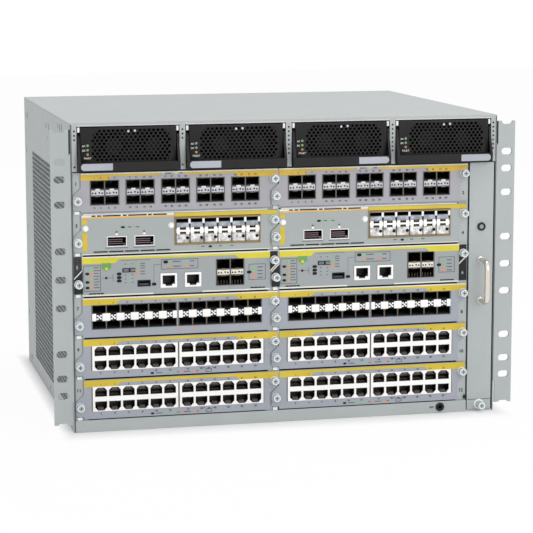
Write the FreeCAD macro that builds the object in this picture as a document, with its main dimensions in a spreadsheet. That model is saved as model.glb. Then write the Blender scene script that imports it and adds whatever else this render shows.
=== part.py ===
"""Modular chassis switch: a seven-unit rack case with twelve cards, four supplies and a fan module.

Millimetres. +X is to the right of a person who faces the front, +Y runs to the rear and +Z is up.
The origin is at the bottom centre of the whole object.
"""
import FreeCAD, Part
import math
import os

import Sketcher

DOC = FreeCAD.newDocument("chassis_switch")
SHEET = DOC.addObject("Spreadsheet::Sheet", "Sizes")

# Driving sizes
SIZES = {
    # Case
    "case_width": 443.0,
    "case_height": 311.0,
    "case_depth": 385.0,
    "case_wall": 1.5,
    "cover_lip": 1.8,
    "bezel_height": 12.0,
    "bezel_right": 191.6,
    "running_gap": 0.3,
    "vent_front": 40.0,
    "vent_length": 270.0,
    "vent_bottom": 18.0,
    "vent_height": 240.0,
    "vent_columns": 2,
    "vent_rows": 3,
    "vent_hole_length": 55.0,
    "vent_hole_height": 26.0,
    # Rack ears
    "rack_width": 482.6,
    "rack_hole_pitch": 465.1,
    "ear_thickness": 2.5,
    "ear_bottom": 8.0,
    "ear_top": 304.6,
    "ear_leg_bottom": 31.0,
    "ear_leg_top": 280.0,
    "ear_leg_depth": 32.0,
    "ear_relief": 1.6,
    "rack_slot_length": 11.6,
    "rack_slot_height": 7.1,
    "rack_slot_first": 28.575,
    "rack_slot_second": 75.0,
    "rack_slot_third": 100.0,
    "rack_slot_fourth": 117.475,
    "rack_slot_fifth": 149.225,
    # Power supply bay
    "shelf_top": 263.0,
    "shelf_wall": 1.2,
    "shelf_setback": 2.0,
    "bay_pitch": 109.0,
    "post_width": 5.9,
    # Card cage
    "upright_wall": 1.5,
    "upright_setback": 1.8,
    "left_upright_width": 12.6,
    "middle_upright_width": 13.0,
    "right_upright_width": 10.4,
    "rail_length": 304.0,
    "cage_top": 261.6,
    "web_wall": 1.2,
    "web_window_margin": 14.0,
    "rail_height": 2.0,
    "left_rail_reach": 14.5,
    "right_rail_reach": 9.0,
    "web_inset": 8.2,
    "tab_rise": 1.5,
    "tab_width": 5.0,
    "tab_height": 3.0,
    "backplane_setback": 320.0,
    "backplane_thickness": 2.4,
    "backplane_bottom": 14.0,
    "backplane_top": 304.0,
    # Cards
    "card_left": -211.7,
    "card_base": 13.15,
    "card_width": 200.2,
    "card_height": 39.9,
    "card_gap": 1.4,
    "row_pitch": 41.65,
    "plate_thickness": 1.5,
    "lug_width": 8.0,
    "lug_play": 0.2,
    "lug_foot": 2.6,
    "lug_corner": 2.0,
    "lug_low": 17.5,
    "lug_high": 25.0,
    "lug_lift": 0.4,
    "flange_reach": 7.0,
    "flange_wall": 1.2,
    "flange_inset": 9.0,
    "board_start": 4.0,
    "board_length": 301.0,
    "board_thickness": 1.6,
    "board_left": 5.0,
    "board_width": 182.0,
    "cage_port_base": 8.0,
    "control_port_base": 6.0,
    "copper_port_base": 7.6,
    "plug_gap": 0.4,
    "plug_width": 60.0,
    "plug_height": 14.0,
    "screw_radius": 3.7,
    "screw_rise": 5.6,
    "screw_inset": 3.6,
    "low_screw_height": 12.4,
    "high_screw_height": 30.2,
    # Ports
    "window_gap": 0.2,
    "port_proud": 0.3,
    "cage_length": 45.0,
    "cage_hollow": 38.0,
    "cage_pitch": 14.3,
    "cage_opening": 13.1,
    "cage_opening_height": 8.2,
    "cage_rim": 0.5,
    "cage_strip": 7.2,
    "cage_inset": 9.3,
    "cage_group_gap": 1.6,
    "access_group_pitch": 35.7,
    "tall_opening_height": 9.4,
    "module_cage_inset": 94.9,
    "control_cage_inset": 136.2,
    "jack_length": 19.0,
    "jack_hollow": 14.0,
    "jack_pitch": 14.08,
    "jack_opening": 12.1,
    "jack_opening_height": 6.2,
    "jack_key": 6.2,
    "jack_key_height": 3.2,
    "jack_rim": 0.8,
    "jack_strip": 4.9,
    "jack_margin": 2.36,
    "jack_inset": 9.0,
    "jack_group_gap": 1.5,
    "single_jack_width": 16.8,
    "single_jack_height": 14.6,
    "single_jack_first": 79.1,
    "single_jack_second": 103.9,
    "quad_opening": 18.6,
    "quad_opening_height": 8.8,
    "quad_first": 25.6,
    "quad_pitch": 27.8,
    "stick_opening": 12.0,
    "stick_opening_height": 5.2,
    "stick_length": 14.0,
    "stick_left": 56.0,
    "stick_lift": 2.2,
    # Power supplies
    "supply_width": 101.4,
    "supply_height": 43.4,
    "supply_depth": 300.0,
    "nose_width": 96.2,
    "nose_proud": 1.5,
    "nose_depth": 10.0,
    "nose_wall": 2.0,
    "supply_wall": 1.5,
    "supply_cavity_depth": 46.0,
    "grille_width": 76.0,
    "grille_height": 28.6,
    "grille_centre_across": 3.0,
    "grille_centre_up": 25.0,
    "grille_columns": 3,
    "grille_rows": 2,
    "grille_hole": 6.2,
    "clip_width": 2.6,
    "clip_height": 5.0,
    "supply_fan_radius": 18.0,
    "supply_fan_hub": 8.6,
    "supply_fan_width": 10.0,
    "supply_fan_setback": 26.0,
    "supply_fan_height": 21.7,
    "supply_fan_first": -10.6,
    "supply_fan_pitch": 41.0,
    "supply_stator_radius": 5.0,
    "supply_plug_width": 50.0,
    "bail_width": 102.0,
    "bail_thickness": 5.5,
    "bail_proud": 8.0,
    "bail_bar_height": 9.0,
    "bail_arm": 2.4,
    "bail_pivot_height": 31.5,
    "bail_ear": 4.6,
    "bail_pin_play": 0.3,
    "bail_pivot_setback": 3.0,
    "bail_pin_radius": 1.5,
    # Fan module
    "fan_panel_left": 192.8,
    "fan_panel_width": 26.0,
    "fan_frame_inset": 0.6,
    "fan_rail_width": 3.0,
    "fan_rail_start": 20.0,
    "fan_panel_bottom": 1.8,
    "fan_panel_top": 262.0,
    "fan_frame_width": 25.0,
    "fan_frame_bottom": 12.6,
    "fan_frame_top": 260.4,
    "fan_frame_depth": 316.0,
    "fan_radius": 56.0,
    "fan_bore_gap": 2.0,
    "fan_hub_radius": 19.0,
    "fan_rotor_width": 18.0,
    "fan_first_setback": 92.0,
    "fan_first_height": 74.5,
    "fan_pitch": 124.0,
    "fan_strut": 3.0,
    "fan_rotor_inset": 2.0,
    "fan_blades": 7,
    "supply_fan_blades": 5,
    "handle_reach": 24.0,
    "handle_rod": 5.5,
    "handle_span": 43.0,
    "handle_bend": 8.0,
    "handle_height": 139.2,
    "lamp_radius": 4.1,
    "lamp_lens_radius": 2.7,
    "lamp_proud": 2.0,
    "lamp_height": 195.3,
    "module_screw_height": 7.1,
    "module_screw_rise": 10.0,
    # Ground jack and rear inlets
    "jack_stud_across": 163.0,
    "jack_stud_height": 6.2,
    "jack_stud_radius": 3.0,
    "jack_stud_play": 0.2,
    "jack_collar_radius": 4.0,
    "jack_collar_proud": 1.2,
    "jack_stud_length": 12.0,
    "jack_stud_bore": 1.9,
    "inlet_width": 28.0,
    "inlet_height": 20.4,
    "inlet_flange": 2.0,
    "inlet_flange_width": 46.0,
    "inlet_flange_height": 23.0,
    "inlet_depth": 22.0,
    "inlet_hollow": 18.0,
    "inlet_opening": 24.0,
    "inlet_opening_height": 16.4,
    "inlet_centre_height": 285.0,
}

SLOT_ROWS = 6
SLOT_COLUMNS = 2
SUPPLY_COUNT = 4
FAN_ROWS = 2
FAN_COLUMNS = 2
BLADE_PITCH = 50.0
BLADE_THICKNESS = 1.0
OCTAGON_SIDE = math.tan(math.pi / 8)
OCTAGON_CORNER = 1 / math.cos(math.pi / 8)
BEND_SHARE = 1 - math.sqrt(0.5)
BORE_SIDES = 16
BORE_CORNER = 1 / math.cos(math.pi / BORE_SIDES)
BREAK_OUT = 1.0
NODES = []
VECTOR = FreeCAD.Vector


def fill_sheet():
    """Writes each driving size to the sheet, with its name as the alias."""
    for row, (alias, value) in enumerate(SIZES.items(), start=1):
        SHEET.set(f"A{row}", alias)
        SHEET.set(f"B{row}", str(value))
        SHEET.setAlias(f"B{row}", alias)
    DOC.recompute()


class Size:
    """A length that carries its value and the expression that ties it to the sheet."""

    def __init__(self, text, value):
        self.text = text
        self.value = value

    @staticmethod
    def of(other):
        """Returns a size for a plain number, and a size as it is."""
        if isinstance(other, Size):
            return other
        return Size(f"({float(other)})", float(other))

    def join(self, sign, other, value):
        """Returns the size that an operator makes from two sizes."""
        return Size(f"({self.text} {sign} {other.text})", value)

    def __add__(self, other):
        other = Size.of(other)
        return self.join("+", other, self.value + other.value)

    def __sub__(self, other):
        other = Size.of(other)
        return self.join("-", other, self.value - other.value)

    def __mul__(self, other):
        other = Size.of(other)
        return self.join("*", other, self.value * other.value)

    def __truediv__(self, other):
        other = Size.of(other)
        return self.join("/", other, self.value / other.value)

    def __radd__(self, other):
        return Size.of(other) + self

    def __rsub__(self, other):
        return Size.of(other) - self

    def __rmul__(self, other):
        return Size.of(other) * self

    def __neg__(self):
        return self * -1


def size(alias):
    """Returns one driving size of the sheet."""
    return Size(f"Sizes.{alias}", float(SHEET.get(alias)))


def count(alias):
    """Returns one driving count of the sheet."""
    return int(SHEET.get(alias))


def bind(obj, prop, value):
    """Ties a property of an object to the sheet."""
    obj.setExpression(prop, Size.of(value).text)


def place(obj, corner):
    """Ties the place of an object to the sheet."""
    for axis, value in zip("xyz", corner):
        bind(obj, f"Placement.Base.{axis}", value)
    return obj


def box(name, corner, extent):
    """A block from its low corner and its extent along X, Y and Z."""
    block = DOC.addObject("Part::Box", name)
    for prop, value in zip(("Length", "Width", "Height"), extent):
        bind(block, prop, value)
    return place(block, corner)


TURNS = {
    "x": FreeCAD.Rotation(VECTOR(0, 1, 0), 90),
    "y": FreeCAD.Rotation(VECTOR(1, 0, 0), -90),
    "z": FreeCAD.Rotation(),
}


def round_bar(name, axis, start, radius, length, sides=8):
    """A nearly round bar along X, Y or Z from the centre of its low end, with its corners at the radius."""
    prism = DOC.addObject("Part::Prism", name)
    prism.Polygon = sides
    turn = TURNS[axis].multiply(FreeCAD.Rotation(VECTOR(0, 0, 1), 180 / sides))
    prism.Placement = FreeCAD.Placement(VECTOR(), turn)
    bind(prism, "Circumradius", radius)
    bind(prism, "Height", length)
    return place(prism, start)


def round_hole(name, start, radius, depth):
    """The tool for a true round hole along Y."""
    tool = DOC.addObject("Part::Cylinder", name)
    tool.Placement = FreeCAD.Placement(VECTOR(), TURNS["y"])
    bind(tool, "Radius", radius)
    bind(tool, "Height", depth)
    return place(tool, start)


def fuse(name, shapes):
    """One solid from several that meet."""
    union = DOC.addObject("Part::MultiFuse", name)
    union.Shapes = shapes
    union.Refine = True
    return union


def cut(name, base, tools):
    """A shape less one or more tools."""
    result = DOC.addObject("Part::Cut", name)
    result.Base = base
    result.Tool = tools[0] if len(tools) == 1 else group(f"{name}_tools", tools)
    result.Refine = True
    return result


def group(name, shapes):
    """Several separate solids that share one node."""
    bundle = DOC.addObject("Part::Compound", name)
    bundle.Links = shapes
    return bundle


def node(name, obj):
    """Marks an object as a finished piece of the product."""
    obj.Label = name
    NODES.append((name, obj))
    return obj


def origin_plane(body, role):
    """Returns the origin plane of a body that has the given role."""
    return next(item for item in body.Origin.OriginFeatures if item.Role == role)


def draw(body, name, plane, loops, closed=True):
    """A sketch of straight-sided loops or of one open line, each corner tied to the sheet."""
    sketch = body.newObject("Sketcher::SketchObject", name)
    sketch.AttachmentSupport = [(origin_plane(body, plane), "")]
    sketch.MapMode = "FlatFace"
    for loop in loops:
        corners = [(Size.of(across), Size.of(up)) for across, up in loop]
        first = sketch.GeometryCount
        total = len(corners) if closed else len(corners) - 1
        for index, (across, up) in enumerate(corners[:total]):
            after = corners[(index + 1) % len(corners)]
            start = VECTOR(across.value, up.value, 0)
            end = VECTOR(after[0].value, after[1].value, 0)
            sketch.addGeometry(Part.LineSegment(start, end), False)
        for index in range(total if closed else total - 1):
            after = first + (index + 1) % total
            sketch.addConstraint(Sketcher.Constraint("Coincident", first + index, 2, after, 1))
        for index, corner in enumerate(corners):
            line, end = (first + index, 1) if index < total else (first + total - 1, 2)
            for kind, value in zip(("DistanceX", "DistanceY"), corner):
                rule = Sketcher.Constraint(kind, -1, 1, line, end, value.value)
                number = sketch.addConstraint(rule)
                bind(sketch, f"Constraints[{number}]", value)
    return sketch


def rectangle(left, low, width, height):
    """The corners of a rectangle, for a sketch."""
    return [(left, low), (left + width, low), (left + width, low + height), (left, low + height)]


def diamond(across, up, radius):
    """The corners of a square set on its corner, for a sketch."""
    return [(across, up - radius), (across + radius, up), (across, up + radius), (across - radius, up)]


def pad(body, name, plane, loops, depth, backwards=False):
    """Raises loops off an origin plane of a body."""
    raised = body.newObject("PartDesign::Pad", name)
    raised.Profile = draw(body, f"{name}_sketch", plane, loops)
    raised.Reversed = backwards
    bind(raised, "Length", depth)
    return raised


def pocket(body, name, plane, loops, depth, backwards=False):
    """Cuts loops into a body from an origin plane."""
    hollow = body.newObject("PartDesign::Pocket", name)
    hollow.Profile = draw(body, f"{name}_sketch", plane, loops)
    hollow.Reversed = backwards
    bind(hollow, "Length", depth)
    return hollow


def repeat(body, feature, across, columns, up=None, rows=1):
    """Repeats a pocket along the sketch's two axes."""
    pattern = body.newObject("PartDesign::LinearPattern", f"{feature.Name}_row")
    pattern.Originals = [feature]
    pattern.Direction = (feature.Profile[0], ["H_Axis"])
    pattern.Occurrences = columns
    bind(pattern, "Length", across * (columns - 1))
    if rows > 1:
        pattern.Direction2 = (feature.Profile[0], ["V_Axis"])
        pattern.Occurrences2 = rows
        bind(pattern, "Length2", up * (rows - 1))
    body.Tip = pattern
    return pattern


fill_sheet()

# Sizes that follow from the driving ones
FRONT = (size("handle_reach") - size("case_depth") - size("inlet_flange")) / 2
HALF = size("case_width") / 2
INNER = HALF - size("case_wall")
GAP = size("running_gap")
COLUMN_PITCH = size("card_width") + size("card_gap")
NOTCH = size("lug_width") + size("lug_play")
BACKPLANE = FRONT + size("backplane_setback")
PLATE = size("plate_thickness")
WALL = size("case_wall")
KINDS = ("access", "module", "control", "fibre", "copper", "copper")


class Slot:
    """The place of one card: its column and row, and the low left corner of its face."""

    def __init__(self, number):
        self.number = number
        self.column = (number - 1) % SLOT_COLUMNS
        self.row = (number - 1) // SLOT_COLUMNS
        self.left = size("card_left") + COLUMN_PITCH * self.column
        self.base = size("card_base") + size("row_pitch") * (SLOT_ROWS - 1 - self.row)
        self.kind = KINDS[self.row]
        self.name = f"card_{number:02d}"

    def at(self, across, back, up):
        """Returns a point given from the card's own corner."""
        return (self.left + across, FRONT + back, self.base + up)


class Port:
    """A block of sockets that shows through a window of a card's face."""

    def __init__(self, left, low, width, height, build):
        self.left = Size.of(left)
        self.low = Size.of(low)
        self.width = Size.of(width)
        self.height = Size.of(height)
        self.build = build

    def window(self):
        """Returns the corners of the window that the block stands in."""
        gap = size("window_gap")
        return rectangle(self.left - gap, self.low - gap, self.width + gap * 2, self.height + gap * 2)


# Sockets

def cage_block(name, corner, columns, opening_height, width, height):
    """Pluggable-module cages in two rows with the latch strip between them."""
    body = DOC.addObject("PartDesign::Body", name)
    rim = size("cage_rim")
    pad(body, f"{name}_shell", "XZ_Plane", [rectangle(0, 0, width, height)], size("cage_length"), True)
    side = (width - size("cage_pitch") * (columns - 1) - size("cage_opening")) / 2
    mouth = rectangle(side, rim, size("cage_opening"), opening_height)
    first = pocket(body, f"{name}_mouth", "XZ_Plane", [mouth], size("cage_hollow"))
    repeat(body, first, size("cage_pitch"), columns, opening_height + size("cage_strip"), 2)
    return place(body, corner)


def jack_mouth(centre, low, key_down):
    """The outline of one telephone-type jack: a wide mouth that narrows to its key."""
    half = size("jack_opening") / 2
    key = size("jack_key") / 2
    tall = size("jack_opening_height")
    rise = size("jack_key_height")
    if key_down:
        foot, step, top = low, low + rise, low + rise + tall
    else:
        foot, step, top = low + rise + tall, low + tall, low
    return [(centre - key, foot), (centre + key, foot), (centre + half, step), (centre + half, top),
            (centre - half, top), (centre - half, step)]


def jack_block(name, corner, columns, width, height):
    """Jacks in two rows: the keys of the lower row point down and those of the upper row up."""
    body = DOC.addObject("PartDesign::Body", name)
    pad(body, f"{name}_shell", "XZ_Plane", [rectangle(0, 0, width, height)], size("jack_length"), True)
    centre = size("jack_margin") + size("jack_opening") / 2
    tall = size("jack_key_height") + size("jack_opening_height")
    levels = (size("jack_rim"), size("jack_rim") + tall + size("jack_strip"))
    for index, low in enumerate(levels):
        mouth = jack_mouth(centre, low, index == 0)
        first = pocket(body, f"{name}_mouth_{index}", "XZ_Plane", [mouth], size("jack_hollow"))
        repeat(body, first, size("jack_pitch"), columns)
    return place(body, corner)


def single_jack(name, corner, width, height):
    """One jack with its key down."""
    body = DOC.addObject("PartDesign::Body", name)
    pad(body, f"{name}_shell", "XZ_Plane", [rectangle(0, 0, width, height)], size("jack_length"), True)
    low = (height - size("jack_key_height") - size("jack_opening_height")) / 2
    pocket(body, f"{name}_mouth", "XZ_Plane", [jack_mouth(width / 2, low, True)], size("jack_hollow"))
    return place(body, corner)


def plain_socket(name, corner, width, height, depth):
    """A thin-walled metal socket with one rectangular mouth."""
    body = DOC.addObject("PartDesign::Body", name)
    rim = size("cage_rim")
    pad(body, f"{name}_shell", "XZ_Plane", [rectangle(0, 0, width, height)], depth, True)
    mouth = rectangle(rim, rim, width - rim * 2, height - rim * 2)
    pocket(body, f"{name}_mouth", "XZ_Plane", [mouth], depth - size("cage_rim") * 2)
    return place(body, corner)


def cages(left, low, columns, opening_height):
    """A two-row block of cages as a port."""
    width = size("cage_pitch") * columns + size("cage_rim")
    height = (size("cage_rim") + opening_height) * 2 + size("cage_strip")

    def build(name, corner):
        return cage_block(name, corner, columns, opening_height, width, height)

    return Port(left, low, width, height, build)


def jacks(left, low, columns):
    """A two-row block of jacks as a port."""
    width = (size("jack_margin") * 2 + size("jack_opening")) + size("jack_pitch") * (columns - 1)
    tall = size("jack_rim") + size("jack_key_height") + size("jack_opening_height")
    height = tall * 2 + size("jack_strip")

    def build(name, corner):
        return jack_block(name, corner, columns, width, height)

    return Port(left, low, width, height, build)


def one_jack(left, low):
    """A single jack as a port."""
    width = size("single_jack_width")
    height = size("single_jack_height")

    def build(name, corner):
        return single_jack(name, corner, width, height)

    return Port(left, low, width, height, build)


def socket(left, low, opening, opening_height, depth):
    """A plain socket as a port."""
    width = opening + size("cage_rim") * 2
    height = opening_height + size("cage_rim") * 2

    def build(name, corner):
        return plain_socket(name, corner, width, height, depth)

    return Port(left, low, width, height, build)


def ports_of(kind):
    """Returns the ports of a card, placed from the card's own corner."""
    base = port_base(kind)
    if kind == "access":
        return [cages(size("cage_inset") + size("access_group_pitch") * group_index, base, 2,
                      size("cage_opening_height")) for group_index in range(5)]
    if kind == "fibre":
        first = cages(size("cage_inset"), base, 6, size("cage_opening_height"))
        after = size("cage_inset") + first.width + size("cage_group_gap")
        return [first, cages(after, base, 6, size("cage_opening_height"))]
    if kind == "copper":
        first = jacks(size("jack_inset"), base, 6)
        return [first, jacks(size("jack_inset") + first.width + size("jack_group_gap"), base, 6)]
    if kind == "module":
        quads = [socket(size("quad_first") + size("quad_pitch") * index, base, size("quad_opening"),
                        size("quad_opening_height"), size("cage_length")) for index in range(2)]
        return quads + [cages(size("module_cage_inset"), base, 6, size("tall_opening_height"))]
    stick = socket(size("stick_left"), base + size("stick_lift"), size("stick_opening"),
                   size("stick_opening_height"), size("stick_length"))
    pair = [one_jack(size("single_jack_first"), base), one_jack(size("single_jack_second"), base)]
    return [stick] + pair + [cages(size("control_cage_inset"), base, 2, size("tall_opening_height"))]


def port_base(kind):
    """Height of a card's ports above its lower edge, which is also the top of its board."""
    if kind == "copper":
        return size("copper_port_base")
    if kind == "control":
        return size("control_port_base")
    return size("cage_port_base")


# Cards

def thumb_screw(name, centre, rise):
    """The round head of a captive screw, from the centre of its seat."""
    across, back, up = centre
    return round_bar(name, "y", (across, back - rise, up), size("screw_radius"), rise)


def build_faceplate(slot):
    """A card's folded face with its two lugs, its port windows and its captive screws."""
    width = size("card_width")
    height = size("card_height")
    lug = size("lug_width")
    low = size("lug_low")
    high = size("lug_high")
    lift = size("lug_lift")
    foot = size("lug_foot")
    corner = size("lug_corner")
    outline = [(0, 0), (width - NOTCH, 0), (width - NOTCH, low + lift), (width, high + lift), (width, height),
               (0, height), (0, high), (-lug, low), (-lug, foot + corner), (corner - lug, foot), (0, foot)]
    name = f"{slot.name}_face"
    body = DOC.addObject("PartDesign::Body", name)
    pad(body, f"{name}_sheet", "XZ_Plane", [outline], PLATE, True)
    windows = [port.window() for port in ports_of(slot.kind)]
    pocket(body, f"{name}_windows", "XZ_Plane", windows, PLATE)
    place(body, slot.at(0, 0, 0))
    inset = size("flange_inset")
    span = width - NOTCH - inset * 2
    wall = size("flange_wall")
    flange = box(f"{name}_flange", slot.at(inset, PLATE, height - wall), (span, size("flange_reach"), wall))
    plate = fuse(f"{name}_folded", [body, flange])
    seats = ((-size("screw_inset"), size("low_screw_height")),
             (width - size("screw_inset"), size("high_screw_height")))
    screws = [thumb_screw(f"{name}_screw_{index}", slot.at(across, 0, up), size("screw_rise"))
              for index, (across, up) in enumerate(seats)]
    node(f"{slot.name}_faceplate", group(f"{name}_set", [plate] + screws))


def build_board(slot):
    """A card's circuit board with its port blocks and its rear plug."""
    base = port_base(slot.kind)
    start = size("board_start")
    thickness = size("board_thickness")
    left = size("board_left")
    width = size("board_width")
    length = size("board_length")
    board = box(f"{slot.name}_sheet", slot.at(left, start, base - thickness), (width, length, thickness))
    plug_left = (size("card_width") - size("plug_width")) / 2
    plug_start = start + length
    plug_length = size("backplane_setback") - size("plug_gap") - plug_start
    plug = box(f"{slot.name}_plug", slot.at(plug_left, plug_start, base - thickness),
               (size("plug_width"), plug_length, size("plug_height")))
    proud = -size("port_proud")
    blocks = [port.build(f"{slot.name}_port_{index}", slot.at(port.left, proud, port.low))
              for index, port in enumerate(ports_of(slot.kind))]
    pieces = [board, plug] + blocks
    if slot.kind == "control":
        stick = ports_of(slot.kind)[0]
        pieces.append(box(f"{slot.name}_stand", slot.at(stick.left, start, base),
                          (stick.width, size("stick_length") - start - size("port_proud"), stick.low - base)))
    node(f"{slot.name}_board", group(f"{slot.name}_board_set", pieces))


# Case

def build_base_pan():
    """The floor, its folded front strip, the fan module's rails and the tab for its screw."""
    floor = box("pan_floor", (-INNER, FRONT, 0), (INNER * 2, size("case_depth") - WALL, WALL))
    strip = box("pan_strip", (-INNER, FRONT, WALL),
                (INNER + size("bezel_right"), WALL, size("bezel_height") - WALL))
    stud = (size("jack_stud_across"), FRONT - BREAK_OUT, size("jack_stud_height"))
    hole = round_bar("pan_stud_hole", "y", stud, size("jack_stud_radius") + size("jack_stud_play"),
                    WALL + BREAK_OUT * 2)
    rise = size("fan_frame_bottom") - GAP - WALL
    rail = size("fan_rail_width")
    left = size("fan_panel_left") + size("fan_frame_inset")
    right = left + size("fan_frame_width") - rail
    rails = [box(f"pan_rail_{index}", (across, FRONT + size("fan_rail_start"), WALL),
                 (rail, size("rail_length"), rise)) for index, across in enumerate((left, right))]
    tab_width = size("screw_radius") * 4
    tab_across = size("fan_panel_left") + (size("fan_panel_width") - tab_width) / 2
    tab = box("pan_tab", (tab_across, FRONT + PLATE + GAP, WALL), (tab_width, WALL, rise))
    pan = fuse("pan_blank", [floor, strip, tab] + rails)
    node("base_pan", cut("pan", pan, [hole]))


def build_side_wall(name, left):
    """A side wall with a staggered field of vents."""
    body = DOC.addObject("PartDesign::Body", name)
    height = size("case_height") - WALL
    pad(body, f"{name}_sheet", "YZ_Plane", [rectangle(0, 0, size("case_depth"), height)], WALL)
    columns = count("vent_columns")
    rows = count("vent_rows")
    across = size("vent_length") / columns
    up = size("vent_height") / rows
    for index in range(2):
        start = size("vent_front") + across / 2 * index
        low = size("vent_bottom") + up / 2 * index
        cell = rectangle(start, low, size("vent_hole_length"), size("vent_hole_height"))
        first = pocket(body, f"{name}_vent_{index}", "YZ_Plane", [cell], WALL, True)
        repeat(body, first, across, columns, up, rows)
    node(name, place(body, (left, FRONT, 0)))


def build_top_cover():
    """The top sheet with its folded front lip."""
    under = size("case_height") - WALL
    lip = size("cover_lip")
    sheet = box("cover_sheet", (-HALF, FRONT, under), (HALF * 2, size("case_depth"), WALL))
    edge = box("cover_edge", (-INNER, FRONT, under - lip), (INNER * 2, WALL, lip))
    node("top_cover", fuse("cover", [sheet, edge]))


def bay_centre(index):
    """Middle of one power supply bay, across the case."""
    return size("bay_pitch") * (index - (SUPPLY_COUNT - 1) / 2)


def build_rear_panel():
    """The rear sheet with a cut-out for each mains inlet."""
    back = FRONT + size("case_depth") - WALL
    height = size("case_height") - WALL * 2
    sheet = box("rear_sheet", (-INNER, back, WALL), (INNER * 2, WALL, height))
    holes = [box(f"rear_hole_{index}",
                 (bay_centre(index) - size("inlet_width") / 2, back - BREAK_OUT,
                  size("inlet_centre_height") - size("inlet_height") / 2),
                 (size("inlet_width"), WALL + BREAK_OUT * 2, size("inlet_height")))
             for index in range(SUPPLY_COUNT)]
    node("rear_panel", cut("rear", sheet, holes))


def build_power_inlets():
    """One mains inlet behind each power supply."""
    rear = FRONT + size("case_depth")
    flange = size("inlet_flange")
    inlets = []
    for index in range(SUPPLY_COUNT):
        middle = bay_centre(index)
        up = size("inlet_centre_height")
        length = size("inlet_depth")
        shell = box(f"inlet_{index}_shell",
                    (middle - size("inlet_width") / 2, rear - length, up - size("inlet_height") / 2),
                    (size("inlet_width"), length, size("inlet_height")))
        rim = box(f"inlet_{index}_rim",
                  (middle - size("inlet_flange_width") / 2, rear, up - size("inlet_flange_height") / 2),
                  (size("inlet_flange_width"), flange, size("inlet_flange_height")))
        hollow = size("inlet_hollow")
        mouth = box(f"inlet_{index}_mouth",
                    (middle - size("inlet_opening") / 2, rear + flange - hollow,
                     up - size("inlet_opening_height") / 2),
                    (size("inlet_opening"), hollow + BREAK_OUT, size("inlet_opening_height")))
        inlets.append(cut(f"inlet_{index}", fuse(f"inlet_{index}_blank", [shell, rim]), [mouth]))
    node("power_inlets", group("inlets", inlets))


def rack_slot(name, across, back, up, thickness):
    """The tool for one slot of a rack ear, longer across than it is tall."""
    radius = size("rack_slot_height") / 2
    straight = size("rack_slot_length") - size("rack_slot_height")
    left = across - straight / 2
    middle = box(f"{name}_middle", (left, back, up - radius), (straight, thickness, radius * 2))
    ends = [round_hole(f"{name}_end_{index}", (centre, back, up), radius, thickness)
            for index, centre in enumerate((left, left + straight))]
    return fuse(name, [middle] + ends)


def build_rack_ear(name, side):
    """An angle bracket: a slotted front flange, and a leg against the side wall."""
    thickness = size("ear_thickness")
    outer = size("rack_width") / 2
    relief = size("ear_relief")
    inner = HALF + relief
    low = size("ear_bottom")
    leg_low = size("ear_leg_bottom")
    leg_tall = size("ear_leg_top") - leg_low

    def span(near, far):
        """Returns the low X and the width of a stretch on this side of the case."""
        return (near, far - near) if side > 0 else (-far, far - near)

    left, width = span(inner, outer)
    flange = box(f"{name}_flange", (left, FRONT, low), (width, thickness, size("ear_top") - low))
    left, width = span(HALF, inner)
    root = box(f"{name}_root", (left, FRONT, leg_low), (width, thickness, leg_tall))
    left, width = span(HALF, HALF + thickness)
    leg = box(f"{name}_leg", (left, FRONT, leg_low), (width, size("ear_leg_depth"), leg_tall))
    offsets = [Size.of(0)]
    for step in ("first", "second", "third", "fourth", "fifth"):
        offset = size(f"rack_slot_{step}")
        offsets += [offset, -offset]
    across = size("rack_hole_pitch") / 2 * side
    middle = size("case_height") / 2
    slots = [rack_slot(f"{name}_slot_{index}", across, FRONT - BREAK_OUT, middle + offset,
                       thickness + BREAK_OUT * 2)
             for index, offset in enumerate(offsets)]
    node(name, cut(f"{name}_slotted", fuse(f"{name}_blank", [flange, root, leg]), slots))


def build_bay():
    """The shelf under the power supplies, and the dividers that stand on it."""
    depth = size("backplane_setback") - size("shelf_setback")
    top = size("shelf_top")
    wall = size("shelf_wall")
    start = FRONT + size("shelf_setback")
    node("bay_shelf", box("shelf", (-INNER, start, top - wall), (INNER * 2, depth, wall)))
    tall = size("case_height") - WALL - top
    post_tall = tall - size("cover_lip")
    post = size("post_width")
    end_post = INNER - size("bay_pitch") * (SUPPLY_COUNT / 2) + post / 2
    dividers = []
    for index in range(SUPPLY_COUNT + 1):
        middle = size("bay_pitch") * (index - SUPPLY_COUNT / 2)
        left = middle - post / 2
        width = post
        web_left = middle - WALL / 2
        if index == 0:
            left, width, web_left = -INNER, end_post, -INNER
        if index == SUPPLY_COUNT:
            left, width, web_left = INNER - end_post, end_post, INNER - WALL
        flange = box(f"divider_{index}_post", (left, FRONT, top), (width, WALL, post_tall))
        web = box(f"divider_{index}_web", (web_left, FRONT + WALL, top), (WALL, depth, tall))
        dividers.append(fuse(f"divider_{index}", [flange, web]))
    node("bay_dividers", group("dividers", dividers))


def web_with_window(name, left, low, tall):
    """An upright wall of the card cage with a large opening for the air."""
    margin = size("web_window_margin")
    back = FRONT + size("upright_setback")
    depth = size("backplane_setback") - size("upright_setback")
    wall = size("web_wall")
    sheet = box(f"{name}_sheet", (left, back, low), (wall, depth, tall))
    window = box(f"{name}_window", (left - BREAK_OUT, back + margin, low + margin),
                 (wall + BREAK_OUT * 2, depth - margin * 2, tall - margin * 2))
    return cut(name, sheet, [window])


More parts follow.
